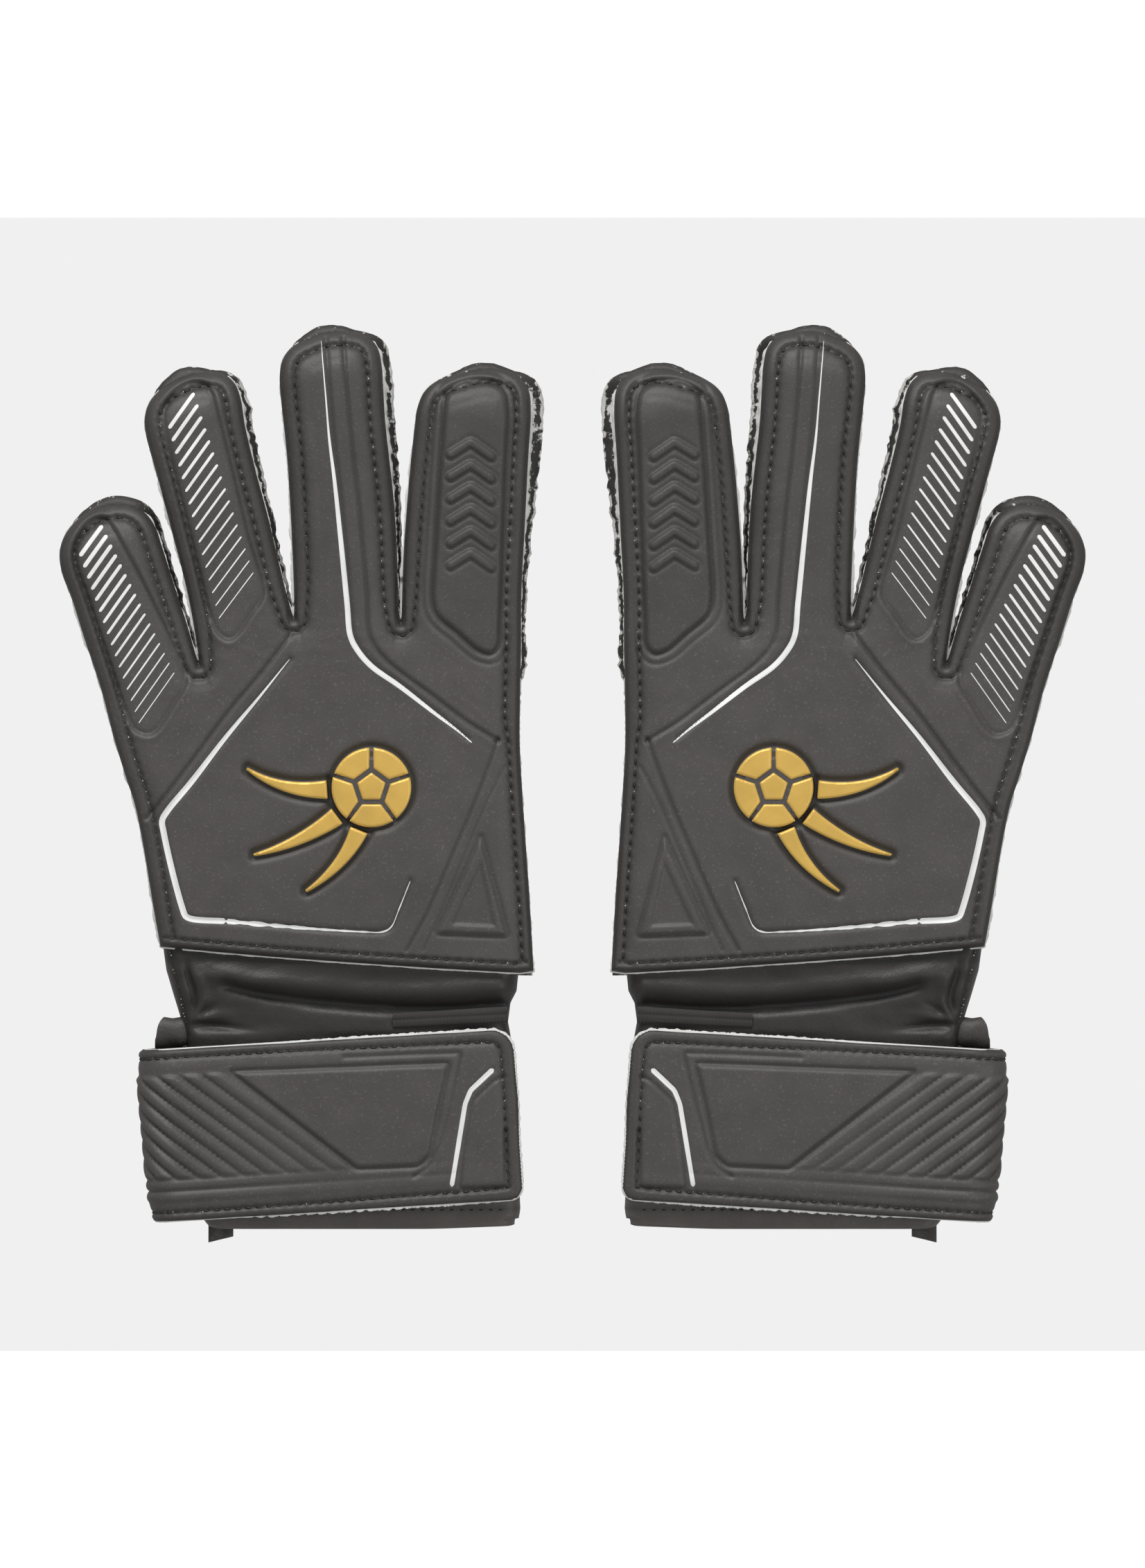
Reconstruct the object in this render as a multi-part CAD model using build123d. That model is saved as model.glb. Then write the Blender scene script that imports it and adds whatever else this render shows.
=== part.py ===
from build123d import *
import os
from math import cos, radians, sin

# A pair of goalkeeper gloves lying palm down, side by side, with the thumbs
# folded under the palms. Millimetres. +X points to the right-hand glove's
# little finger, +Y to the fingertips, +Z up. The origin is on the floor, at
# the middle of the pair. The right-hand glove is modelled on the +X side and
# the left-hand glove is its mirror image.

# ---- levels above the floor --------------------------------------------------
PALM_FOAM = 3.5            # latex foam palm, lying on the floor
BACK_UNDER = 18.0          # underside of the backhand panel
BACK_TOP = 21.5            # top of the backhand panel, before its crown
LINING_THICK = 0.8
THUMB_TOP = 7.8            # upper side of the thumb that is folded under
THUMB_SKIN = 2.4           # each of the thumb's two panels
RECESS_UNDER = 8.2         # underside of the palm where it passes over the thumb
RECESS_TOP = 11.2
RECESS_SLOPE = 28.0        # degrees from vertical

CUFF_PALM_LOW, CUFF_PALM_HIGH = 3.6, 5.4
CUFF_BACK_LOW, CUFF_BACK_HIGH = 11.4, 13.2
CUFF_JOIN_LOW, CUFF_JOIN_HIGH = 15.6, 17.4   # where the cuff is sewn under the backhand
LOOP_LOW, LOOP_HIGH = 13.3, 14.1
HOOK_LOW, HOOK_HIGH = 14.2, 15.0
STRAP_LINING_LOW = 15.1
STRAP_LOW, STRAP_TOP = 16.0, 19.4

# ---- small sizes ---------------------------------------------------------------
JOINT_GAP = 0.3            # on each side of a finger's crease
WALL_INSET = 1.2           # a gusset stands this far inside the panels' edges
WALL = 1.2                 # thickness of a gusset
PALM_LEAD = 2.4            # the palm reaches this far past the backhand, towards the thumb
LINING_INSET = 4.0
RAISED = 0.8               # height of the crest above the backhand

# ---- fingers: crease centre, lean, half widths and length ---------------------
# lean is the angle from +Y towards +X. length runs from the crease to the
# backhand's tip, and palm_extra is how far the palm's tip reaches past it.
FINGERS = {
    "index": dict(base=(32.2, 46.8), lean=-3.9, half_base=16.9, half_tip=16.4, length=72.8, palm_extra=2.6),
    "middle": dict(base=(65.2, 48.2), lean=4.2, half_base=14.9, half_tip=14.9, length=82.7, palm_extra=2.3),
    "ring": dict(base=(94.8, 45.6), lean=14.1, half_base=13.5, half_tip=13.9, length=74.6, palm_extra=2.0),
    "little": dict(base=(122.0, 31.4), lean=19.1, half_base=13.6, half_tip=14.2, length=51.8, palm_extra=1.6),
}
CROTCHES = [(49.7, 45.5), (80.8, 45.0), (108.0, 33.0)]   # index-middle, middle-ring, ring-little

# ---- hand outline, seen from above ---------------------------------------------
OUTER_EDGE = [(131.0, 12.5), (126.8, -3.0), (123.5, -20.0), (121.0, -33.0), (119.0, -46.7)]
HEM = [(80.0, -51.0), (40.0, -53.6), (11.1, -54.0)]
INNER_EDGE = [(12.7, -30.0), (14.5, 0.0), (15.0, 25.0)]
PALM_HEM = [(119.0, -56.0), (11.1, -56.0)]

# ---- thumb, folded under the palm about a line along its inner edge ------------
THUMB_FOLD_X = 17.0
THUMB_ROOT = (8.0, -44.0)             # the fold line's upper and lower ends, along Y
THUMB_SHOULDER = (48.0, 21.4)
THUMB_TIP = (68.2, 17.8)
THUMB_HEEL = (64.6, -2.4)
RECESS_PLAN = [(5, -52), (28, -51), (73, -9), (81, 6), (80, 26), (64, 35), (44, 33), (5, 16)]
RECESS_WALL = 3.2

# ---- cuff and strap --------------------------------------------------------------
CUFF_JOIN_Y, CUFF_SLOPE_Y = -54.0, -70.0
CUFF_BACK_PLAN = [
    (117.5, -46.0), (116.8, -54.0), (113.8, -66.0), (111.6, -73.0), (111.0, -125.5),
    (16.0, -122.5), (17.0, -75.0), (18.6, -69.0), (18.6, -64.0), (16.2, -61.0), (15.6, -55.0), (20.0, -46.0),
]
CUFF_PALM_PLAN = [
    (114.0, -52.0), (111.5, -73.0), (111.0, -125.5), (99.0, -128.9), (60.0, -129.2),
    (17.0, -126.6), (15.1, -125.0), (15.1, -119.0), (17.0, -75.0), (16.0, -52.0),
]
SIDE_WALL_TOP, SIDE_WALL_BOTTOM = -73.0, -122.0
SIDE_LOOP_AT = (110.6, -71.8, 8.45)   # where the rolled loop leaves the cuff's outer wall
SIDE_LOOP_HALF = (4.2, 2.95)          # half its width and half its height
SIDE_LOOP_LENGTH, SIDE_LOOP_WALL = 9.0, 1.1
STRAP_HINGE = (114.34, -101.5)
STRAP_TURN = -3.6                     # the strap lies a little askew on the wrist
STRAP_WIDTH = 50.0
STRAP_LENGTH = 99.0                   # from the fold to the free end
STRAP_CORNER = 6.5                    # rounding of the free end's upper corner
STRAP_CORNER_LOW = 3.5
STRAP_TAIL = 48.0                     # the sewn part under the wrist
STRAP_BEND = STRAP_TOP / 2            # outer radius where it passes round the wrist
HOOK_PLAN = (36.0, 40.0)
LOOP_PLAN = (60.0, 42.0)
TAPE_X = (18.9, 52.0)
TAPE_Y = (-64.6, -69.0)
TAPE_THICK = 0.9
TAB_X = (98.6, 105.6)
TAB_Y = (-133.2, -119.0)
TAB_Z = (5.5, 7.3)

# ---- crest: a stitched ball with three tapering tails ---------------------------
BALL_CENTRE = (58.0, -1.0)
BALL_RADIUS = 11.5
BALL_PENTAGON = 4.4
BALL_GROOVE = 1.1
# where each tail starts, bends and ends, and its width at the start
TAILS = [
    ((70.8, -1.6), (84.0, -2.5), (94.0, 4.5), 5.4),
    ((67.9, -9.3), (79.0, -17.5), (92.0, -20.5), 5.4),
    ((61.6, -13.3), (66.0, -24.0), (77.0, -31.0), 5.4),
]
TAIL_END = 0.8
TAIL_STEPS = 10


def place(finger, z=0.0):
    """The finger's frame: across it along x, towards its tip along y."""
    return Location((*finger["base"], z), (0, 0, -finger["lean"]))


def across(finger, side, along=0.0):
    """A corner of the finger's crease: side is -1 towards the thumb and 1 away from it."""
    a = radians(finger["lean"])
    x, y = finger["base"]
    half = side * finger["half_base"]
    return (x + half * cos(a) + along * sin(a), y - half * sin(a) + along * cos(a))


def plate(points, low, high):
    """A flat panel with that outline, between two levels."""
    return Pos(0, 0, low) * extrude(make_face(Polyline(*points, close=True)), high - low)


def box(x, y, z):
    """A box between pairs of coordinates."""
    return Pos(sum(x) / 2, sum(y) / 2, sum(z) / 2) * Box(abs(x[1] - x[0]), abs(y[1] - y[0]), abs(z[1] - z[0]))


# ---- fingers -----------------------------------------------------------------------
def finger_outline(finger, inset=0.0, lead=0.0, extra=0.0, start=JOINT_GAP):
    """A finger from its crease to its round tip, in its own frame."""
    base = finger["half_base"] - inset
    tip = finger["half_tip"] - inset
    end = finger["length"] + extra - inset
    shoulder = end - tip - lead / 2
    sides = Polyline((-tip - lead, shoulder), (-base, start), (base, start), (tip, shoulder))
    top = ThreePointArc((tip, shoulder), (-lead / 2, end), (-tip - lead, shoulder))
    return make_face(sides + top)


def finger_panels(finger):
    back = place(finger, BACK_UNDER) * extrude(finger_outline(finger), BACK_TOP - BACK_UNDER)
    outline = finger_outline(finger, inset=0.3, lead=PALM_LEAD, extra=finger["palm_extra"] + 0.3)
    palm = place(finger) * extrude(outline, PALM_FOAM)
    outside = finger_outline(finger, inset=WALL_INSET)
    inside = finger_outline(finger, inset=WALL_INSET + WALL, start=JOINT_GAP - 1)
    gusset = place(finger, PALM_FOAM) * extrude(outside - inside, BACK_UNDER - PALM_FOAM)
    return {"back": back, "palm": palm, "gusset": gusset}


# ---- hand ----------------------------------------------------------------------------
def hand_outline(hem):
    """The hand panel, with a notch between each pair of fingers and an edge at each crease."""
    names = list(FINGERS)
    points = []
    for i, name in enumerate(names):
        points += [across(FINGERS[name], side, -JOINT_GAP) for side in (-1, 1)]
        if i < len(CROTCHES):
            points.append(CROTCHES[i])
    return points + OUTER_EDGE[:-1] + hem + INNER_EDGE


def recess(inset, height):
    """The hollow in the palm that the thumb lies in: it narrows upwards."""
    plan = make_face(Polyline(*RECESS_PLAN, close=True))
    if inset:
        plan = offset(plan, amount=-inset, kind=Kind.INTERSECTION)
    return extrude(plan, height, taper=RECESS_SLOPE)


def palm_panel():
    outline = hand_outline(PALM_HEM)
    flat = plate(outline, 0, PALM_FOAM) - recess(0, RECESS_TOP)
    over_thumb = recess(0, RECESS_TOP) - recess(RECESS_WALL, RECESS_UNDER)
    return flat + (over_thumb & plate(outline, 0, RECESS_TOP))


def side_gussets():
    """The two side walls of the hand, outer and inner, as two solids."""
    outline = make_face(Polyline(*hand_outline(OUTER_EDGE[-1:] + HEM), close=True))
    ring = offset(outline, amount=-WALL_INSET) - offset(outline, amount=-WALL_INSET - WALL)
    walls = Pos(0, 0, PALM_FOAM) * extrude(ring, BACK_UNDER - PALM_FOAM)
    outer = walls & box((112, 140), (-42, 24), (0, BACK_TOP))
    inner = (walls & box((10, 18), (-49, 42), (0, BACK_TOP))) - recess(0, RECESS_TOP)
    return outer + inner


def hand_lining():
    outline = make_face(Polyline(*hand_outline(OUTER_EDGE[-1:] + HEM), close=True))
    cloth = extrude(offset(outline, amount=-LINING_INSET), LINING_THICK)
    return Pos(0, 0, BACK_UNDER - LINING_THICK - 0.1) * cloth & box((0, 150), (-42, 60), (0, BACK_UNDER))


def tail(start, bend, end, width):
    """A curved tail that tapers from its start to its end."""
    start, bend, end = Vector(*start), Vector(*bend), Vector(*end)
    left, right = [], []
    for i in range(TAIL_STEPS + 1):
        t = i / TAIL_STEPS
        point = start * (1 - t) ** 2 + bend * (2 * t * (1 - t)) + end * t**2
        along = (bend - start) * (1 - t) + (end - bend) * t
        side = Vector(-along.Y, along.X).normalized() * (width * (1 - t) + TAIL_END * t) / 2
        left.append(point + side)
        right.append(point - side)
    return make_face(Polyline(*left, *reversed(right), close=True))


def crest():
    """A round ball, with a pentagon and the five panels round it, and its three tails."""
    middle = RegularPolygon(BALL_PENTAGON, 5, rotation=90)
    gap = RegularPolygon(BALL_PENTAGON + BALL_GROOVE, 5, rotation=90) - middle
    spoke = Pos(BALL_PENTAGON + BALL_RADIUS / 2, 0) * Rectangle(BALL_RADIUS, BALL_GROOVE)
    ball = Circle(BALL_RADIUS) - gap
    for i in range(5):
        ball = ball - Rot(0, 0, 90 + 72 * i) * spoke
    shapes = Pos(*BALL_CENTRE) * ball
    for shape in TAILS:
        shapes = shapes + tail(*shape)
    return Pos(0, 0, BACK_TOP) * extrude(shapes, RAISED)


# ---- thumb ----------------------------------------------------------------------------
def thumb_outline(inset=0.0):
    x = THUMB_FOLD_X + JOINT_GAP
    sides = Polyline(THUMB_SHOULDER, (x, THUMB_ROOT[0]), (x, THUMB_ROOT[1]), THUMB_HEEL)
    face = make_face(sides + ThreePointArc(THUMB_HEEL, THUMB_TIP, THUMB_SHOULDER))
    return offset(face, amount=-inset) if inset else face


def thumb_panels():
    """The thumb's back faces the floor, because the thumb is folded under."""
    outside = thumb_outline(WALL_INSET)
    inside = thumb_outline(WALL_INSET + WALL)
    root = box((0, THUMB_FOLD_X + 4), (-60, 30), (0, RECESS_UNDER))
    ring = Pos(0, 0, THUMB_SKIN) * extrude(outside - inside, THUMB_TOP - 2 * THUMB_SKIN)
    return {
        "back": extrude(thumb_outline(), THUMB_SKIN),
        "palm": Pos(0, 0, THUMB_TOP - THUMB_SKIN) * extrude(thumb_outline(), THUMB_SKIN),
        "gusset": ring - root,
    }


# ---- cuff ------------------------------------------------------------------------------
def cuff_back():
    """Soft wrist cover: sewn under the backhand's hem, and lower under the strap."""
    join, slope, high, low_level = CUFF_JOIN_Y, CUFF_SLOPE_Y, CUFF_BACK_HIGH, CUFF_BACK_LOW
    top = [(-40, CUFF_JOIN_HIGH), (join, CUFF_JOIN_HIGH), (slope, high), (-140, high)]
    low = [(-140, low_level), (slope, low_level), (join, CUFF_JOIN_LOW), (-40, CUFF_JOIN_LOW)]
    profile = make_face(Polyline(*[(0, y, z) for y, z in top + low], close=True))
    return extrude(profile, 150, dir=(1, 0, 0)) & plate(CUFF_BACK_PLAN, 0, BACK_UNDER)


def cuff_sides():
    """The two sides of the cuff's tube, with the rolled loop at the top of the outer one."""
    levels = (CUFF_PALM_HIGH, CUFF_BACK_LOW)
    rows = (SIDE_WALL_BOTTOM, SIDE_WALL_TOP)
    half_y, half_z = SIDE_LOOP_HALF
    ring = Ellipse(half_y, half_z) - Ellipse(half_y - SIDE_LOOP_WALL, half_z - SIDE_LOOP_WALL)
    loop = Plane(SIDE_LOOP_AT, x_dir=(0, 1, 0), z_dir=(1, 0, 0)) * extrude(ring, SIDE_LOOP_LENGTH)
    return box((17.4, 18.6), rows, levels) + (box((109.4, 110.6), rows, levels) + loop)


def wrist_tape():
    """Ribbed elastic tape that lies on the slope of the cuff."""
    rise = (CUFF_JOIN_HIGH - CUFF_BACK_HIGH) / (CUFF_JOIN_Y - CUFF_SLOPE_Y)
    floor = [(y, CUFF_BACK_HIGH + (y - CUFF_SLOPE_Y) * rise + 0.1) for y in TAPE_Y]
    ends = floor + [(y, z + TAPE_THICK) for y, z in reversed(floor)]
    profile = make_face(Polyline(*[(TAPE_X[0], y, z) for y, z in ends], close=True))
    return extrude(profile, TAPE_X[1] - TAPE_X[0], dir=(1, 0, 0))


# ---- strap: local x runs outwards across the hinge, local y along it ------------------
STRAP_FRAME = Location((*STRAP_HINGE, 0), (0, 0, STRAP_TURN))


def strap_outline(inset=0.0):
    """The flap, with a rounded free end and a straight edge at the hinge."""
    half = STRAP_WIDTH / 2
    start = -STRAP_LENGTH
    corners = [(-JOINT_GAP, -half), (-JOINT_GAP, half), (start, half), (start, -half)]
    flat = make_face(Polyline(*corners, close=True))
    upper = flat.vertices().sort_by(Axis.X)[:2].sort_by(Axis.Y)[-1]
    flat = fillet(upper, STRAP_CORNER)
    lower = flat.vertices().sort_by(Axis.Y)[:2].sort_by(Axis.X)[0]
    flat = fillet(lower, STRAP_CORNER_LOW)
    return offset(flat, amount=-inset) if inset else flat


def strap_layer(plan, low, high):
    return STRAP_FRAME * Pos(0, 0, low) * extrude(plan, high - low)


def strap_anchor():
    """The sewn tail under the wrist and the half round that brings the strap to the top."""
    inner = STRAP_BEND - (STRAP_TOP - STRAP_LOW)
    ring = Cylinder(STRAP_BEND, STRAP_WIDTH) - Cylinder(inner, STRAP_WIDTH)
    half = ring & Pos(STRAP_BEND, 0, 0) * Box(2 * STRAP_BEND, 4 * STRAP_BEND, STRAP_WIDTH)
    bend = Pos(0, 0, STRAP_BEND) * Rot(90, 0, 0) * half
    tail = box((-STRAP_TAIL, 0), (-STRAP_WIDTH / 2, STRAP_WIDTH / 2), (0, STRAP_TOP - STRAP_LOW))
    return STRAP_FRAME * (bend + tail)


def strap_parts():
    from_end = 4.0
    hook = Pos(-STRAP_LENGTH + from_end + HOOK_PLAN[0] / 2, 0) * Rectangle(*HOOK_PLAN)
    loop = Pos(-STRAP_LENGTH + from_end + LOOP_PLAN[0] / 2, 0) * Rectangle(*LOOP_PLAN)
    return {
        "strap_flap": strap_layer(strap_outline(), STRAP_LOW, STRAP_TOP),
        "strap_lining": strap_layer(strap_outline(0.6), STRAP_LINING_LOW, STRAP_LINING_LOW + LINING_THICK),
        "hook_patch": strap_layer(hook, HOOK_LOW, HOOK_HIGH),
        "loop_patch": strap_layer(loop, LOOP_LOW, LOOP_HIGH),
        "strap_anchor": strap_anchor(),
    }


# ---- the whole glove --------------------------------------------------------------------
def glove():
    """Every piece of the right-hand glove, by name."""
    pieces = {
        "back_panel": plate(hand_outline(OUTER_EDGE[-1:] + HEM), BACK_UNDER, BACK_TOP),
        "palm_panel": palm_panel(),
        "hand_lining": hand_lining(),
        "side_gussets": side_gussets(),
        "crest": crest(),
        "cuff_back": cuff_back(),
        "cuff_palm": plate(CUFF_PALM_PLAN, CUFF_PALM_LOW, CUFF_PALM_HIGH),
        "cuff_sides": cuff_sides(),
        "wrist_tape": wrist_tape(),
        "pull_tab": box(TAB_X, TAB_Y, TAB_Z),
        **strap_parts(),
    }
    for name, finger in FINGERS.items():
        for panel, solid in finger_panels(finger).items():
            pieces[f"{name}_{panel}"] = solid
    for panel, solid in thumb_panels().items():
        pieces[f"thumb_{panel}"] = solid
    return pieces


def main():
    os.makedirs("parts", exist_ok=True)
    for name, solid in glove().items():
        export_step(solid, f"parts/right_{name}.step")
        export_step(mirror(solid, about=Plane.YZ), f"parts/left_{name}.step")


if __name__ == "__main__":
    main()
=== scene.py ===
import bpy
import math
import numpy as np
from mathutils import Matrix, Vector
from mathutils.geometry import delaunay_2d_cdt


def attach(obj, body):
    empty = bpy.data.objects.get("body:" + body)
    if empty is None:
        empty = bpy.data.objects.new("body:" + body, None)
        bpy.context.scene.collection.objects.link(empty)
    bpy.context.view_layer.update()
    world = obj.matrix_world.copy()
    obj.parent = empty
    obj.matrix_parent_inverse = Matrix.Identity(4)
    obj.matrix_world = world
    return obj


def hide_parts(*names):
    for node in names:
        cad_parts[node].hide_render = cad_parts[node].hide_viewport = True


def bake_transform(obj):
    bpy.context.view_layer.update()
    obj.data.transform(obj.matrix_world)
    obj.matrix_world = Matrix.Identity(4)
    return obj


# A pair of goalkeeper gloves, palm down. All shapes are worked out for the right-hand
# glove, in millimetres, and mirrored for the left-hand one.

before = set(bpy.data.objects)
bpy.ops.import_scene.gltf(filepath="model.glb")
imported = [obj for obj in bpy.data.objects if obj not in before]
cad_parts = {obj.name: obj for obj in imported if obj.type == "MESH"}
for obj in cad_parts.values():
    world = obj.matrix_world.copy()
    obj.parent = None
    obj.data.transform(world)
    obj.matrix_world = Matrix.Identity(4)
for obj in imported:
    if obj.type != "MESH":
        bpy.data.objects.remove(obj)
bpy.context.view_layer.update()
MM = 0.001
SIDES = (("right", 1.0), ("left", -1.0))

# ---- fingers: crease centre, lean from +Y, half widths at root and tip, length, where the finger
# ---- begins along it, how far the palm shows beside it, and the palm's bump over the tip (height,
# ---- half width, place across)
FINGERS = {
    "index": dict(base=(32.2, 46.8), lean=-3.9, half=(16.9, 16.4), length=72.8, start=-1.7,
                  lead=3.6, bump=(1.9, 8.0, 0.0)),
    "middle": dict(base=(65.2, 48.2), lean=4.2, half=(14.9, 14.9), length=82.7, start=0.7,
                   lead=2.6, bump=(2.2, 8.0, 0.5)),
    "ring": dict(base=(94.8, 45.6), lean=14.1, half=(13.5, 13.9), length=74.6, start=-1.35,
                 lead=1.9, bump=(2.7, 7.0, 0.0)),
    "little": dict(base=(122.0, 31.4), lean=19.1, half=(13.6, 14.2), length=51.8, start=-2.2,
                   lead=1.5, bump=(2.3, 9.0, -6.0)),
}
BEND = 17.0                # how much of a finger's length bends at its crease
NAMES = list(FINGERS)

# ---- outline of the backhand and the finger backs, one run between two crotches ----
RUNS = [
    [(11.3, -54), (12.4, -34), (13.5, -18), (14.7, 0), (15.3, 12), (15.2, 25), (14.9, 40), (14.8, 55),
     (13.8, 75), (12.8, 95), (12.1, 107), (12.7, 114), (15.3, 118), (19, 119.8), (24, 120.4), (29, 119.9),
     (33.5, 118.5), (39.6, 116.4), (43, 113.2), (44.9, 108.5), (45.5, 104), (46.2, 98), (47.2, 88), (48, 78),
     (48.7, 68), (49.1, 58), (49.3, 50), (49.5, 46.2)],
    [(49.5, 46.2), (50.2, 50), (50.5, 58), (50.9, 70), (51.8, 83), (53.1, 95), (54.2, 105), (54.8, 115),
     (55.2, 121), (56.6, 126.6), (60, 130), (64, 131), (69, 131.1), (73.5, 130.3), (77, 128.8), (81.2, 126.4),
     (83.8, 122.8), (84.6, 118.2), (84.2, 111), (83.4, 104), (82.4, 94), (81.5, 80), (80.8, 65), (80.4, 53),
     (80.5, 47.6)],
    [(80.5, 47.6), (81.4, 50.4), (83.2, 57), (88, 77), (92, 92), (94.8, 104), (96, 111.5), (97.8, 116),
     (101, 118.7), (105.3, 119.4), (110, 118.8), (115, 116.8), (119.2, 114.2), (122.3, 110.6), (123.7, 106),
     (123.3, 101), (122, 96), (120, 89), (116, 74), (111.6, 57), (108.9, 43), (108.1, 37), (107.9, 34)],
    [(107.9, 34), (108.8, 37), (111.4, 46), (115, 57), (119, 69.5), (120.6, 74.2), (123.4, 78.2),
     (127.4, 80.6), (132, 81.2), (137, 80.3), (141, 78.3), (144.4, 75.4), (147.2, 71.2), (148.3, 66.3),
     (147.4, 60.5), (145, 54.5), (141, 42), (136, 27), (132.4, 13.4), (128.6, 1), (126.6, -5), (125, -12),
     (123.2, -22), (120.6, -38), (119, -47)],
]
HEM = [(119, -47), (104, -48.4), (88, -49.8), (65, -51.5), (40, -53.2), (15, -54.6), (11.3, -54)]

BACK_Z = 21.3              # top of the backhand
SEAM = 4.3                 # the seam's distance from the edge
HEM_SEAM = 2.7
STITCH = 3.3               # pitch of the stitches


# ================================ small geometry tools ================================
def columns(*parts):
    return np.column_stack(parts)


def lengths(vectors):
    return np.linalg.norm(vectors, axis=1)


def sideways(d):
    """Unit vectors square to the plane vectors d, on their left."""
    n = columns(-d[:, 1], d[:, 0])
    return n / (lengths(n)[:, None] + 1e-9)


def resample(points, step):
    p = np.asarray(points, float)
    at = np.concatenate([[0], np.cumsum(lengths(np.diff(p, axis=0)))])
    t = np.linspace(0, at[-1], max(2, int(round(at[-1] / step)) + 1))
    return np.stack([np.interp(t, at, p[:, k]) for k in range(p.shape[1])], 1)


def loop(points, step):
    """The closed line through the points, evenly sampled, without its first point again."""
    return resample(np.vstack([points, points[:1]]), step)[:-1]


def curve(points, step=1.0):
    """A smooth line through the points (centripetal Catmull-Rom), evenly sampled."""
    p = np.asarray(points, float)
    p = np.vstack([2 * p[0] - p[1], p, 2 * p[-1] - p[-2]])
    out = []
    for a, b, c, d in zip(p[:-3], p[1:-2], p[2:-1], p[3:]):
        t1 = np.linalg.norm(b - a) ** 0.5
        t2 = t1 + np.linalg.norm(c - b) ** 0.5
        t3 = t2 + np.linalg.norm(d - c) ** 0.5
        t = np.linspace(t1, t2, 14)[:-1, None]
        a1 = (t1 - t) / t1 * a + t / t1 * b
        a2 = (t2 - t) / (t2 - t1) * b + (t - t1) / (t2 - t1) * c
        a3 = (t3 - t) / (t3 - t2) * c + (t - t2) / (t3 - t2) * d
        b1 = (t2 - t) / t2 * a1 + t / t2 * a2
        b2 = (t3 - t) / (t3 - t1) * a2 + (t - t1) / (t3 - t1) * a3
        out.append((t2 - t) / (t2 - t1) * b1 + (t - t1) / (t2 - t1) * b2)
    return resample(np.vstack([*out, p[-2:-1]]), step)


def smooth(x, low=0.0, high=1.0):
    t = np.clip((x - low) / (high - low), 0, 1)
    return t * t * (3 - 2 * t)


def bell(x, width):
    """1 at x = 0, and near 0 beyond twice the width."""
    return np.exp(-((x / width) ** 2))


def rounded(x, radius, least=0.0):
    """The height of a rolled edge: it rises as a quarter circle, and is 1 from the radius on."""
    return np.sqrt(np.clip(1 - (1 - np.clip(x / radius, 0, 1)) ** 2, least, 1))


def darkest(*shades):
    return np.maximum.reduce(shades)


def blur(ring, times):
    """Evens out values that go round a closed line."""
    for _ in range(times):
        ring = (np.roll(ring, 1) + 2 * ring + np.roll(ring, -1)) / 4
    return ring


def nearest(points, path, closed=False):
    """For every point its distance to the path, the arc length there, and the place."""
    points = np.asarray(points, float)
    path = np.asarray(path, float)
    if closed:
        path = np.vstack([path, path[:1]])
    a, d = path[:-1], np.diff(path, axis=0)
    length = lengths(d)
    at = np.concatenate([[0], np.cumsum(length)])
    dist, arc, place = np.empty(len(points)), np.empty(len(points)), np.empty((len(points), 2))
    for i in range(0, len(points), 1500):
        now = slice(i, i + 1500)
        p = points[now]
        rx = p[:, None, 0] - a[None, :, 0]
        ry = p[:, None, 1] - a[None, :, 1]
        t = np.clip((rx * d[:, 0] + ry * d[:, 1]) / (length**2 + 1e-12), 0, 1)
        q = (rx - t * d[:, 0]) ** 2 + (ry - t * d[:, 1]) ** 2
        k = q.argmin(1)
        r = np.arange(len(p))
        dist[now] = np.sqrt(q[r, k])
        arc[now] = at[k] + t[r, k] * length[k]
        place[now] = a[k] + t[r, k, None] * d[k]
    return dist, arc, place


def inside(points, polygon):
    result = np.zeros(len(points), bool)
    x0, y0 = polygon[:, 0], polygon[:, 1]
    x1, y1 = np.roll(x0, -1), np.roll(y0, -1)
    for i in range(0, len(points), 3000):
        x, y = points[i:i + 3000, 0, None], points[i:i + 3000, 1, None]
        hit = (y0 > y) != (y1 > y)
        with np.errstate(divide="ignore", invalid="ignore"):
            cross = (x1 - x0) * (y - y0) / (y1 - y0) + x0
        result[i:i + 3000] = ((hit & (x < cross)).sum(1) % 2) == 1
    return result


def close_to(points, path, reach):
    low, high = np.min(path, 0) - reach, np.max(path, 0) + reach
    return np.flatnonzero(np.all((points >= low) & (points <= high), 1))


def groove(points, path, width, depth, z):
    """Presses a soft line into the heights z."""
    k = close_to(points, path, 3 * width)
    if len(k):
        d = nearest(points[k], path)[0]
        z[k] -= depth * bell(d, width)


def area_distance(points, polygon, reach):
    """Signed distance to the polygon, positive inside, for the points close to it."""
    k = close_to(points, polygon, reach)
    d = nearest(points[k], polygon, closed=True)[0]
    d[~inside(points[k], polygon)] *= -1
    return k, d


def compact(faces, count):
    """Which of the count vertices the faces use, and the faces with the numbers of only those."""
    used = np.unique(faces)
    new = np.full(count, -1)
    new[used] = np.arange(len(used))
    return used, new[faces]


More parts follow.
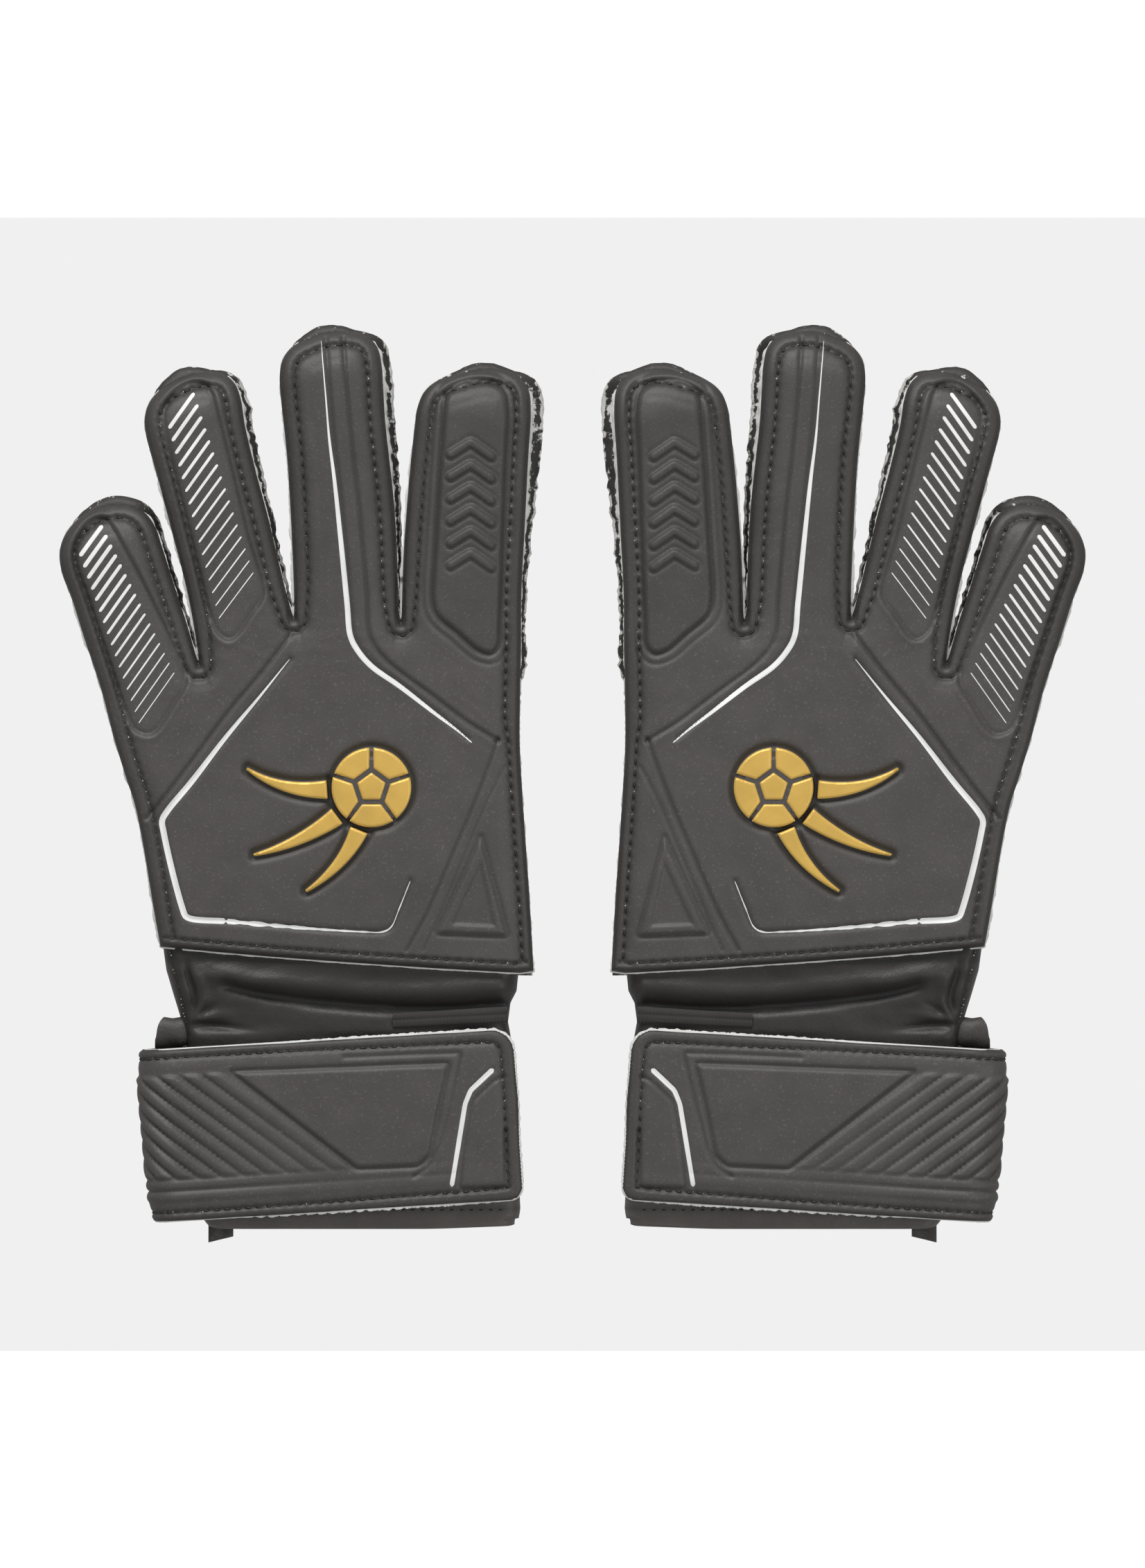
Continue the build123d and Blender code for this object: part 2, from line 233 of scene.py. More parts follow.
def lattice(outline, h):
    """An even triangle mesh of the area inside a closed outline, with its rim on the outline."""
    low, high = outline.min(0) - h, outline.max(0) + h
    rows = int((high[1] - low[1]) / (h * 0.866)) + 2
    cols = int((high[0] - low[0]) / h) + 2
    j, i = np.mgrid[0:rows, 0:cols]
    p = np.stack([low[0] + (i + 0.5 * (j % 2)) * h, low[1] + j * h * 0.866], -1).reshape(-1, 2)
    d, _, place = nearest(p, outline, closed=True)
    signed = np.where(inside(p, outline), d, -d)
    snapped = d < 0.5 * h
    p[snapped] = place[snapped]
    good = signed > -0.5 * h
    index = j * cols + i
    tris = []
    for odd in (0, 1):
        r = np.arange(odd, rows - 1, 2)
        a, b = index[r, :-1], index[r, 1:]
        c, e = index[r + 1, :-1], index[r + 1, 1:]
        if odd == 0:
            tris += [(a, b, c), (b, e, c)]
        else:
            tris += [(a, e, c), (a, b, e)]
    tris = np.concatenate([np.stack([x.ravel() for x in t], 1) for t in tris])
    tris = tris[good[tris].all(1)]
    flat = snapped[tris].all(1)
    k = np.flatnonzero(flat)
    middle = p[tris[k]].mean(1)
    depth = nearest(middle, outline, closed=True)[0] * np.where(inside(middle, outline), 1, -1)
    keep = np.ones(len(tris), bool)
    keep[k[depth < 0.12 * h]] = False
    used, tris = compact(tris[keep], len(p))
    return p[used], tris


def fill(outline, h):
    """Triangles inside a closed outline, which keep its points and add a lattice of spacing h."""
    p, _ = lattice(outline, h)
    d = nearest(p, outline, closed=True)[0]
    p = p[d > 0.6 * h]
    n = len(outline)
    points = [Vector(q) for q in np.vstack([outline, p])]
    edges = [(i, (i + 1) % n) for i in range(n)]
    v, _, f, *_ = delaunay_2d_cdt(points, edges, [], 1, 1e-5)
    return np.array([tuple(q) for q in v]), np.array([t for t in f if len(t) == 3])


def rim(tris):
    """The directed edges that only one triangle has."""
    e = np.concatenate([tris[:, [0, 1]], tris[:, [1, 2]], tris[:, [2, 0]]])
    key = np.sort(e, 1)
    key = key[:, 0].astype(np.int64) * (key.max() + 1) + key[:, 1]
    _, first, count = np.unique(key, return_index=True, return_counts=True)
    return e[first[count == 1]]


def strips(shape, closed=False):
    """Triangles that join rows of points, for that number of rows and of points in each."""
    r, n = shape
    i = np.arange(n if closed else n - 1)
    out = []
    for k in range(r - 1):
        a, b = k * n + i, k * n + (i + 1) % n
        c, d = a + n, b + n
        out += [np.stack([a, b, d], 1), np.stack([a, d, c], 1)]
    return np.concatenate(out)


def sheet_faces(tris, count):
    """Triangles of a closed layer, from those of its top face with that count of vertices. Its
    bottom vertices follow the top ones."""
    a, b = rim(tris).T
    side = [columns(b, a, a + count), columns(b, a + count, b + count)]
    return np.vstack([tris, tris[:, ::-1] + count, *side])


def copies(faces, size, count):
    """The faces of a shape with that size in points, for every copy of it."""
    return (faces[None] + size * np.arange(count)[:, None, None]).reshape(-1, 3)


def vertex_normals(verts, tris):
    a, b, c = verts[tris[:, 0]], verts[tris[:, 1]], verts[tris[:, 2]]
    n = np.cross(b - a, c - a)
    total = np.zeros_like(verts)
    for k in range(3):
        for axis in range(3):
            total[:, axis] += np.bincount(tris[:, k], n[:, axis], len(verts))
    return total / (lengths(total)[:, None] + 1e-12)


def part_of(verts, tris, chosen, *extra):
    """The chosen triangles as their own mesh, with any per-vertex arrays."""
    used, t = compact(tris[chosen], len(verts))
    return (verts[used], t, *[x[used] for x in extra])


def wobble(t, seed, rate=1.0):
    """An uneven wave between about -1 and 1."""
    rng = np.random.default_rng(seed)
    total = np.zeros(np.shape(t))
    for k in range(7):
        total = total + np.sin(np.asarray(t) * rate * rng.uniform(0.25, 2.2) + rng.uniform(0, 6.3))
    return total / 3.2


def wobble2(p, seed, size):
    """An uneven field in the plane, with patches of about that size."""
    rng = np.random.default_rng(seed)
    total = np.zeros(len(p))
    for k in range(9):
        a, f = rng.uniform(0, 6.3), rng.uniform(0.6, 1.6) * 2 * math.pi / size / 2
        total += np.sin((p[:, 0] * math.cos(a) + p[:, 1] * math.sin(a)) * f + rng.uniform(0, 6.3))
    return total / 4.2


# ================================ materials ================================
CLOUD, DUST_SIZE, DUST_COLOUR = 9.0, 0.7, (0.42, 0.41, 0.40)


def node(tree, kind, **inputs):
    """A shader node, with inputs that are set to a value or joined to another node's output."""
    made = tree.nodes.new(f"ShaderNode{kind}")
    for key, value in inputs.items():
        socket = made.inputs[key.replace("_", " ")]
        if isinstance(value, bpy.types.NodeSocket):
            tree.links.new(value, socket)
        else:
            socket.default_value = value
    return made


def noise(tree, where, size, detail, roughness=0.5):
    """Noise whose largest features have that size in millimetres."""
    made = node(tree, "TexNoise", Vector=where, Scale=1000.0 / size, Detail=detail, Roughness=roughness)
    return made.outputs["Fac"]


def mapped(tree, value, low, high, to_low=0.0, to_high=1.0):
    made = node(tree, "MapRange", Value=value, From_Min=low, From_Max=high, To_Min=to_low, To_Max=to_high)
    return made.outputs["Result"]


def mixed(tree, factor, first, second):
    """The first colour, which turns to the plain second one where factor is 1."""
    made = tree.nodes.new("ShaderNodeMix")
    made.data_type = "RGBA"
    tree.links.new(factor, made.inputs["Factor"])
    tree.links.new(first, made.inputs[6])
    made.inputs[7].default_value = (*second, 1)
    return made.outputs[2]


def mark(tree, name):
    """A value that each vertex of the mesh carries."""
    made = tree.nodes.new("ShaderNodeAttribute")
    made.attribute_name = name
    return made.outputs["Fac"]


def material(name, colour, rough, grain, metallic=0.0, sheen=0.0, shade_and_tone_to=None, patches=None,
             dust=0.0):
    """grain has (size in mm, strength) for each layer of relief, the colour for the mark "groove" is what
    that mark darkens to (on the skins the mark is painted shade in pressed lines, creases and on rolled
    edges, with the dark seams, and on the cuff it leaves out two strips as painted light; on the latex it is
    the latex's own darker tone), and patches is (colour, size in mm, contrast) of what "worn" covers."""
    made = bpy.data.materials.new(name)
    made.use_nodes = True
    tree = made.node_tree
    shader = tree.nodes["Principled BSDF"]
    shader.inputs["Roughness"].default_value = rough
    shader.inputs["Metallic"].default_value = metallic
    shader.inputs["Sheen Weight"].default_value = sheen
    where = node(tree, "TexCoord").outputs["Object"]
    relief = {}
    for size, strength in grain:
        height = noise(tree, where, size, 3, 0.6)
        bump = node(tree, "Bump", Strength=strength, Distance=size * MM * 0.25, Height=height, **relief)
        relief = {"Normal": bump.outputs["Normal"]}
    tree.links.new(relief["Normal"], shader.inputs["Normal"])
    tint = tree.nodes.new("ShaderNodeVectorMath")
    tint.operation = "SCALE"
    tint.inputs[0].default_value = colour
    tree.links.new(mapped(tree, noise(tree, where, CLOUD, 5), 0.3, 0.7, 0.90, 1.08), tint.inputs["Scale"])
    out = tint.outputs["Vector"]
    if dust:
        specks_of_dust = mapped(tree, noise(tree, where, DUST_SIZE, 1), 0.60, 0.78, 0.0, dust)
        out = mixed(tree, specks_of_dust, out, DUST_COLOUR)
    # painted shade and dark seams on the skins, and the latex's darker tone, from the mark "groove"
    if shade_and_tone_to:
        out = mixed(tree, mark(tree, "groove"), out, shade_and_tone_to)
    if patches:
        second, size, contrast = patches
        add = tree.nodes.new("ShaderNodeMath")
        add.operation = "MULTIPLY_ADD"
        tree.links.new(mark(tree, "worn"), add.inputs[0])
        add.inputs[1].default_value = 0.5
        tree.links.new(noise(tree, where, size, 6, 0.65), add.inputs[2])
        worn_away = mapped(tree, add.outputs["Value"], 0.72 - 0.5 / contrast, 0.72 + 0.5 / contrast)
        out = mixed(tree, worn_away, out, second)
    tree.links.new(out, shader.inputs["Base Color"])
    return made


LEATHER = material("synthetic_leather", (0.079, 0.0722, 0.0682), 0.50, [(0.45, 0.55), (2.2, 0.14)],
                   shade_and_tone_to=(0.015, 0.014, 0.013), dust=0.14)
# the cuff's colour here is the lighter one: the mark "groove" darkens it all over but for two strips that
# keep it as painted light
CUFF_SKIN = material("cuff_skin", (0.115, 0.103, 0.096), 0.46, [(0.55, 0.6), (3.0, 0.25)],
                     shade_and_tone_to=(0.010, 0.009, 0.009), dust=0.10)
LOOP_SKIN = material("side_loop", (0.055, 0.049, 0.045), 0.5, [(0.45, 0.7), (2.5, 0.2)],
                     shade_and_tone_to=(0.006, 0.006, 0.006), dust=0.1)
LATEX = material("latex_foam", (0.078, 0.073, 0.069), 0.55, [(0.5, 0.5), (2.0, 0.3)],
                 shade_and_tone_to=(0.020, 0.019, 0.018), patches=((0.74, 0.73, 0.70), 2.2, 14.0))
GUSSET = material("gusset_cloth", (0.82, 0.82, 0.80), 0.9, [(0.35, 0.8)], sheen=0.2)
FOAM = material("foam_edge", (0.78, 0.78, 0.76), 0.9, [(0.4, 0.8)])
LINING = material("lining_cloth", (0.028, 0.028, 0.028), 0.95, [(0.4, 0.7)], sheen=0.3)
CUFF_CLOTH = material("cuff_cloth", (0.026, 0.026, 0.026), 0.95, [(0.35, 0.9), (1.5, 0.2)], sheen=0.2)
THREAD = material("thread", (0.024, 0.023, 0.023), 0.5, [(0.3, 0.6)])
TAPE = material("elastic_tape", (0.040, 0.037, 0.035), 0.8, [(0.3, 0.8)], sheen=0.2)
TAB = material("pull_tab", (0.060, 0.055, 0.051), 0.6, [(0.4, 0.8)], sheen=0.1, dust=0.15)
PRINT = material("white_print", (0.92, 0.92, 0.91), 0.45, [(0.5, 0.2)])
GOLD = material("gold_film", (0.83, 0.53, 0.12), 0.38, [(0.3, 0.5)], metallic=0.3)
HOOK = material("hook_plastic", (0.02, 0.02, 0.02), 0.6, [(0.9, 1.0)])
PILE = material("loop_pile", (0.02, 0.02, 0.02), 1.0, [(0.7, 1.0)], sheen=0.5)


# ================================ making pieces ================================
def finger_axes(name):
    """Its crease centre, and the directions across it and along it."""
    c, s = math.cos(math.radians(FINGERS[name]["lean"])), math.sin(math.radians(FINGERS[name]["lean"]))
    return np.array(FINGERS[name]["base"]), np.array([c, -s]), np.array([s, c])


def finger_place(points, name):
    """Across the finger (outwards is positive) and along it, for points in the plane."""
    base, across, along = finger_axes(name)
    rel = points[:, :2] - base
    return rel @ across, rel @ along


def finger_of(points):
    """-1 for the hand, or the number of the finger that each point belongs to."""
    off = []
    for name in NAMES:
        u, s = finger_place(points, name)
        half = np.interp(s, [0, FINGERS[name]["length"] - 14], FINGERS[name]["half"])
        off.append(np.abs(u) - half)
    best = np.argmin(off, 0)
    result = np.full(len(points), -1)
    for k, name in enumerate(NAMES):
        s = finger_place(points, name)[1]
        result[(best == k) & (s > FINGERS[name]["start"])] = k
    return result


def area_of(verts, tris):
    a, b, c = verts[tris[:, 0]], verts[tris[:, 1]], verts[tris[:, 2]]
    return 0.5 * lengths(np.cross(b - a, c - a)).sum()


def make(name, verts, tris, mat, body="hand", bend=None, stands_for=(), soft=None, normals=None, marks=None,
         flat_angle=None, cloth=None):
    """One piece on each glove. bend is (body, start, end) for a piece that is then left without a body,
    and marks are values for its vertices by name.

    soft, the fill of a padded piece, is not used. cloth is (held, width, length or None, faces, rests on) for
    a sheet.
    A strip of cloth has no length given: it is as long as its area over its width."""
    for side, s in SIDES:
        flip = np.array([s, 1.0, 1.0])
        v = verts * flip
        t = tris if s > 0 else tris[:, ::-1]
        mesh = bpy.data.meshes.new(f"{side}_{name}")
        mesh.vertices.add(len(v))
        mesh.vertices.foreach_set("co", (v * MM).astype(np.float32).ravel())
        mesh.loops.add(3 * len(t))
        mesh.loops.foreach_set("vertex_index", t.astype(np.int32).ravel())
        mesh.polygons.add(len(t))
        mesh.polygons.foreach_set("loop_start", np.arange(0, 3 * len(t), 3, dtype=np.int32))
        mesh.update(calc_edges=True)
        mesh.polygons.foreach_set("use_smooth", np.ones(len(t), bool))
        for key, values in (marks or {}).items():
            mesh.attributes.new(key, "FLOAT", "POINT").data.foreach_set("value", values.astype(np.float32))
        if normals is not None:
            mesh.normals_split_custom_set_from_vertices((normals * flip).tolist())
        elif flat_angle:
            mesh.set_sharp_from_angle(angle=math.radians(flat_angle))
        mesh.materials.append(mat)
        o = bpy.data.objects.new(f"{side}_{name}", mesh)
        bpy.context.scene.collection.objects.link(o)
        if bend:
            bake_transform(o)
        else:
            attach(o, f"{side}_{body}")
        if stands_for:
            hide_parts(*[f"{side}_{n}" for n in stands_for])
        if cloth:
            held, width, length, faces, on = cloth
            area = area_of(verts, tris) / faces
            length = length or area / width


def finger_bend(name):
    base, _, along = finger_axes(name)
    start = base + along * FINGERS[name]["start"]
    end = start + along * BEND
    return (name, (*start, 0.0), (*end, 0.0))


def make_parts(name, verts, tris, mat, parts, normals=None, marks=None, **rest):
    """Divides a surface between parts, each (name, its triangles, bend, the nodes it stands for)."""
    normals = vertex_normals(verts, tris) if normals is None else normals
    marks = marks or {}
    for where, chosen, bend, nodes in parts:
        if chosen.any():
            v, t, n, *m = part_of(verts, tris, chosen, normals, *marks.values())
            make(f"{where}_{name}", v, t, mat, bend=bend, stands_for=nodes, normals=n,
                 marks=dict(zip(marks, m)), **rest)


def make_split(name, verts, tris, mat, hand_node=None, finger_node=None, **rest):
    """Divides a surface of the whole glove between the hand and the four fingers."""
    owner = finger_of(verts[tris].mean(1))
    parts = [("hand", owner == -1, None, (hand_node,) if hand_node else ())]
    for k, where in enumerate(NAMES):
        nodes = (f"{where}_{finger_node}",) if finger_node else ()
        parts.append((where, owner == k, finger_bend(where), nodes))
    make_parts(name, verts, tris, mat, parts, **rest)


# ================================ the backhand's surface ================================
runs = [curve(r, 1.0) for r in RUNS]
hem = resample(HEM, 1.0)
OUTLINE = np.vstack([r[:-1] for r in runs] + [hem[:-1]])
FREE = np.vstack([r[:-1] for r in runs] + [hem[:1]])   # all of the outline but the hem


def poly(points):
    return curve([*points, points[0]], 0.8)[:-1]


LITTLE_PANEL = poly([(133, 75), (135.8, 77.3), (139.3, 76.4), (142.6, 72.3), (144.4, 67), (143.6, 62),
                     (137, 43), (128.4, 18.5), (126.2, 15.2), (122, 14), (119.3, 15.8), (115.3, 22),
                     (111.6, 28.2), (111.3, 31.4), (113.5, 37), (122, 55), (130.5, 71)])
RING_PANEL = poly([(103.6, 112.5), (106.2, 116), (110.6, 116.4), (115.4, 113.4), (118.5, 107.5), (118.2, 102),
                   (112, 76), (104.8, 47.8), (102.7, 43.6), (99.2, 41.4), (96.8, 42.6), (93, 48),
                   (89.2, 53.8), (89.2, 57.5), (93, 70), (96.5, 84), (99.7, 97)])
INDEX_PANEL = poly([(37.2, 110), (36.2, 113.6), (32.6, 116), (28, 116.9), (23, 116.3), (19.4, 113.4),
                    (18.4, 108.5), (18.9, 95), (19.8, 70), (20.7, 46), (21.2, 39.8), (23.4, 37.4), (27, 38.2),
                    (33, 43.2), (39, 48.4), (40.4, 52.4), (39.7, 70), (38.4, 92)])
# each pressed line's points, width and depth; the third is partly printed as well
PRINTED = [(81.5, 36), (90, 25.5), (100, 13.5), (110, 0.5), (117, -8), (118.4, -10.6), (118, -13.6),
           (115.5, -25), (112.5, -36), (111.6, -38.2), (109.6, -39), (100, -39.6)]
WORN = [(100, -39.6), (90, -40.5), (75, -41.8), (60, -42.7), (54.8, -42.7), (52.4, -41.4), (50, -36),
        (46.8, -28)]
GROOVES = [
    ([(71.3, 129), (69.9, 112), (68.9, 100), (67.4, 88), (65.7, 72), (63.8, 52), (62.8, 42.5), (60.4, 38.2),
      (56.6, 34), (49.2, 28.6), (39.3, 20.6), (30, 13)], 0.75, 0.55),
    ([(66.3, 129), (65.2, 115), (63, 93), (61.5, 80), (59.3, 55), (58.3, 42.5), (54, 36), (40, 25.2),
      (30, 17.7), (21.5, 12.5)], 0.75, 0.6),
    (PRINTED + WORN[1:], 1.0, 0.55),
    ([(81.5, 43), (90, 32), (100, 20), (110, 6.5), (118, -4), (123, -10)], 0.7, 0.65),
    ([(21.5, 13), (27.5, -3), (35.5, -22), (42.5, -38), (48, -48)], 0.7, 0.55),
    ([(19.6, 5), (24.8, -5), (32.4, -23), (39.2, -39), (43.2, -48)], 0.6, 0.35),
]
GROOVES = [(curve(p, 1.2), w, d) for p, w, d in GROOVES]
TRIANGLE = loop([(26.5, -15.5), (39, -43), (19, -43.8)], 0.8)
TRIANGLE_IN = loop([(26.3, -21), (35.4, -40.8), (21.9, -41.4)], 0.8)

BALL, BALL_R, PENTAGON, BALL_GAP = np.array([58.0, -1.0]), 11.5, 4.4, 1.1
TAILS = [((70.8, -1.6), (84.0, -2.5), (94.0, 4.5), 5.4), ((67.9, -9.3), (79.0, -17.5), (92.0, -20.5), 5.4),
         ((61.6, -13.3), (66.0, -24.0), (77.0, -31.0), 5.4)]


def tail_outline(start, bend, end, width):
    t = np.linspace(0, 1, 24)[:, None]
    start, bend, end = map(np.array, (start, bend, end))
    p = start * (1 - t) ** 2 + bend * 2 * t * (1 - t) + end * t**2
    side = sideways((bend - start) * (1 - t) + (end - bend) * t) * (width * (1 - t) + 0.8 * t) / 2
    return loop(np.vstack([p + side, (p - side)[::-1]]), 0.6)


def ball_outlines():
    """The ball's pentagon and the five panels round it."""
    angles = np.radians(90 + 72 * np.arange(5))
    shapes = [loop(columns(np.cos(angles), np.sin(angles)) * PENTAGON, 0.4) + BALL]
    half = BALL_GAP / 2
    inner = PENTAGON + BALL_GAP
    for a in angles:
        b = a + math.radians(72)
        t = np.linspace(a + half / BALL_R, b - half / BALL_R, 16)
        first, last = [(math.cos(angle) * inner - math.sin(angle) * gap,
                        math.sin(angle) * inner + math.cos(angle) * gap)
                       for angle, gap in ((a, half), (b, -half))]
        shapes.append(loop([first, *columns(np.cos(t), np.sin(t)) * BALL_R, last], 0.4) + BALL)
    return shapes


CREST = ball_outlines() + [tail_outline(*t) for t in TAILS]
BALL_DISC = BALL + BALL_R * columns(np.cos(np.linspace(0, 6.25, 90)), np.sin(np.linspace(0, 6.25, 90)))
CREST_HALO = [BALL_DISC] + CREST[6:]
CHEVRONS = [resample([(23.4, y), (29.4, y + 4.2), (35.2, y + 0.6)], 0.8) for y in np.arange(62.5, 98, 6.4)]
CROTCHES = [np.array(r[0]) for r in RUNS[1:]]


def seam_offset(p):
    """How far inside the edge the seam runs."""
    off = SEAM - 1.2 * smooth(20 - p[:, 1], 0, 10) * smooth(60 - p[:, 0], 0, 20)
    for c in CROTCHES:
        off = off - 0.9 * np.exp(-((p - c) ** 2).sum(1) / 60)
    return off


# where the skin is softly creased: centre, half sizes, and the creases' lean in radians
CREASED = [((65, 42), (15, 8), 0.0), ((28, 20), (9, 12), 0.7), ((95, 38), (12, 7), 0.3),
           ((20, -8), (6, 20), 1.4)]


def base_height(p):
    """Height of the backhand without its seams and shapes."""
    creases = np.zeros(len(p))
    for centre, size, lean in CREASED:
        q = p - centre
        c, s = math.cos(lean), math.sin(lean)
        turned = columns(q[:, 0] * c + q[:, 1] * s, q[:, 1] * c - q[:, 0] * s)
        ripple = wobble2(turned * [0.35, 1.5], 90, 4.2)
        creases += np.clip(ripple, -0.2, 1) * np.exp(-((q / size) ** 2).sum(1))
    return BACK_Z + 0.22 * wobble2(p, 3, 34) + 0.08 * wobble2(p, 4, 11) + 0.13 * creases


def pulled(at):
    """How much deeper the thread pulls a seam in, along it."""
    return 1 + 0.3 * np.cos(2 * math.pi * at / STITCH)


def holes(at):
    """How dark a seam is along it: darkest between its stitches."""
    return 0.62 + 0.25 * np.cos(2 * math.pi * at / STITCH + math.pi)


def back_height(p):
    """Height of the back's skin over the plane, and how dark each point is: painted shade in the pressed
    lines, on the rolled edge and margin, towards the fingertops and on the index panel, and the dark seams.
    """
    p = np.asarray(p, float)
    edge, arc, _ = nearest(p, FREE)
    hem_edge = nearest(p, hem)[0]
    z = base_height(p)
    # the fingers are crowned across and turn down at the tip
    tip_zone = np.zeros(len(p))
    for name in NAMES:
        u, s = finger_place(p, name)
        length = FINGERS[name]["length"]
        half = np.interp(s, [0, length], FINGERS[name]["half"])
        on = (np.abs(u) < half + 2) & (s > -14)
        z[on] -= (1.5 * np.abs(u / half) ** 2.4 * smooth(s, -14, 22))[on]
        z[on] -= (4.2 * np.clip((s - (length - 15)) / 15, 0, 1.2) ** 2)[on]
        z[on] -= (0.9 * smooth(s, 12, length))[on]
        tip_zone[on] = np.maximum(tip_zone[on], smooth(s[on], length - 9, length - 2))
    z -= 1.1 * smooth(-p[:, 1], 26, 50)
    z -= 0.8 * smooth(26 - p[:, 0], 0, 14) * smooth(-p[:, 1], -45, -20)
    # rolled edge, margin and seam
    seam = seam_offset(p)
    near = np.minimum(edge, hem_edge)
    z -= 2.3 * (1 - rounded(near, 3.0))
    z -= 0.55 * (1 - smooth(edge, seam + 0.5, seam + 4.5))
    cut = bell(edge - seam, 0.72) * smooth(hem_edge, HEM_SEAM - 0.6, HEM_SEAM + 0.4)
    hem_cut = bell(hem_edge - HEM_SEAM, 0.6) * (edge > 1.5)
    z -= 0.9 * cut * pulled(arc) + 0.75 * hem_cut * pulled(p[:, 0])
    z -= 0.21 * bell(edge - seam - 4.2, 1.1) * smooth(p[:, 1], 30, 50)
    # pressed and raised shapes
    for panel in (LITTLE_PANEL, RING_PANEL):
        k, d = area_distance(p, panel, 3)
        z[k] -= 0.8 * smooth(d, -0.6, 0.8)
    before = z.copy()
    for path, width, depth in GROOVES:
        groove(p, path, width, depth * 1.35, z)
        groove(p, path, 2.6 * width, -0.28 * depth, z)
    for panel in (LITTLE_PANEL, RING_PANEL):
        k, d = area_distance(p, panel, 3)
        z[k] += 0.22 * bell(d + 1.1, 0.8) - 0.35 * bell(d - 0.5, 0.6)
    in_index, index_d = area_distance(p, INDEX_PANEL, 4)
    z[in_index] += 0.65 * smooth(index_d, 0.2, 1.6) - 0.75 * bell(index_d, 0.75)
    z[in_index] -= 0.45 * bell(index_d + 2.6, 0.7)
    for path in CHEVRONS:
        k = close_to(p, path, 3)
        d = nearest(p[k], path)[0]
        z[k] += 0.75 * (1 - smooth(d, 0.7, 1.5)) - 0.3 * bell(d - 1.7, 0.5)
    k, d = area_distance(p, TRIANGLE, 3)
    z[k] += 0.8 * smooth(d, -0.2, 1.0) - 0.45 * bell(d + 0.6, 0.6)
    k, d = area_distance(p, TRIANGLE_IN, 2)
    z[k] -= 0.8 * smooth(d, -0.2, 1.0)
    for shape in CREST_HALO:
        k, d = area_distance(p, shape, 5)
        z[k] -= 0.75 * bell(d + 0.5, 1.0) * (d < 0.6) + 0.35 * smooth(d, -3, -0.5) * (d < 3)
    # painted shade: darker in the pressed lines and shapes, on the rolled edge and in the margin inside the
    # seam; the seams and their needle holes are dark
    dark = darkest(np.clip((before - z - 0.12) * 1.1, 0, 0.75),
                   holes(arc) * np.clip(cut, 0, 1),
                   0.75 * np.clip(hem_cut, 0, 1),
                   0.62 * (1 - smooth(near, 0.3, 2.8)) * (1 - 0.55 * tip_zone),
                   0.30 * (1 - smooth(edge, seam + 0.2, seam + 3.2)))
    # painted shade: darker towards the tops of the fingers and over the index panel
    dark += 0.16 * smooth(p[:, 1], 30, 75) * (1 - dark)
    dark[in_index] += 0.16 * smooth(index_d, 0, 2) * (1 - dark[in_index])
    return z, dark


plan, back_tris = lattice(OUTLINE, 0.6)
back_z, back_dark = back_height(plan)
# the mark "groove" carries the painted shade and the dark seams
make_split("back", columns(plan, back_z), back_tris, LEATHER, "back_panel", "back", soft=0.7,
           marks={"groove": back_dark})

# ---- white foam: the cut edge below the skin -----------------------------------------
used, rim_edges = compact(rim(back_tris), len(plan))
rim_plan, rim_top = plan[used], back_z[used]
run = rim_plan[rim_edges[:, 1]] - rim_plan[rim_edges[:, 0]]
rim_out = np.zeros_like(rim_plan)
for k in (0, 1):
    np.add.at(rim_out, rim_edges[:, k], columns(run[:, 1], -run[:, 0]))
rim_out /= lengths(rim_out)[:, None] + 1e-9
arc_at = nearest(rim_plan, OUTLINE, closed=True)[1]
# proud is how far the foam stands out beyond the skin
proud = np.clip(0.16 + 0.22 * wobble(arc_at, 5, 0.6) + 0.1 * wobble(arc_at, 6, 2.0), -0.15, 0.6)
# on the outer side of each finger and of the hand the foam shows a little more
for name in NAMES:
    u, s = finger_place(rim_plan, name)
    length = FINGERS[name]["length"]
    facing = smooth(rim_out @ finger_axes(name)[1], 0.5, 0.9) * (np.abs(u) < 18) * smooth(s, -8, 4)
    shown = facing * (1 - smooth(s, length - 34, length - 18))
    proud += 0.42 * shown * (0.75 + 0.5 * wobble(arc_at, 7, 0.35))
outer_side = smooth(rim_plan[:, 0], 112, 118) * (1 - smooth(rim_plan[:, 1], 5, 20))
proud += 0.35 * outer_side * (0.7 + 0.6 * wobble(arc_at, 9, 0.3))
at_hem = nearest(rim_plan, hem)[0] < 0.5
proud[at_hem] = 0.42 + 0.35 * proud[at_hem]


def edge_rows(profile):
    """Rows of points round the back's edge, each (outwards, share of proud, up from the edge)."""
    n = len(rim_plan)
    rows = [columns(rim_plan + rim_out * (out + add * proud)[:, None], rim_top + up)
            for out, add, up in profile]
    tris = []
    for k in range(len(profile) - 1):
        a, b = rim_edges[:, 0] + k * n, rim_edges[:, 1] + k * n
        tris += [columns(b, a, a + n), columns(b, a + n, b + n)]
    return np.vstack(rows), np.concatenate(tris)


skin_v, skin_t = edge_rows([(0.0, 0, 0.0), (0.05, 0, -0.25), (-0.05, 0, -0.7)])
# the skin's rolled-over edge is painted half dark as shade
make_split("back_edge", skin_v, skin_t, LEATHER, marks={"groove": np.full(len(skin_v), 0.5)})
foam_v, foam_t = edge_rows([(-0.6, 0, -0.5), (0.0, 1.0, -0.62), (0.02, 0.8, -1.4), (-0.1, 0.6, -2.4),
                            (-0.8, 0, -2.9), (-3.0, 0, -2.7)])
make_split("foam_edge", foam_v, foam_t, FOAM)


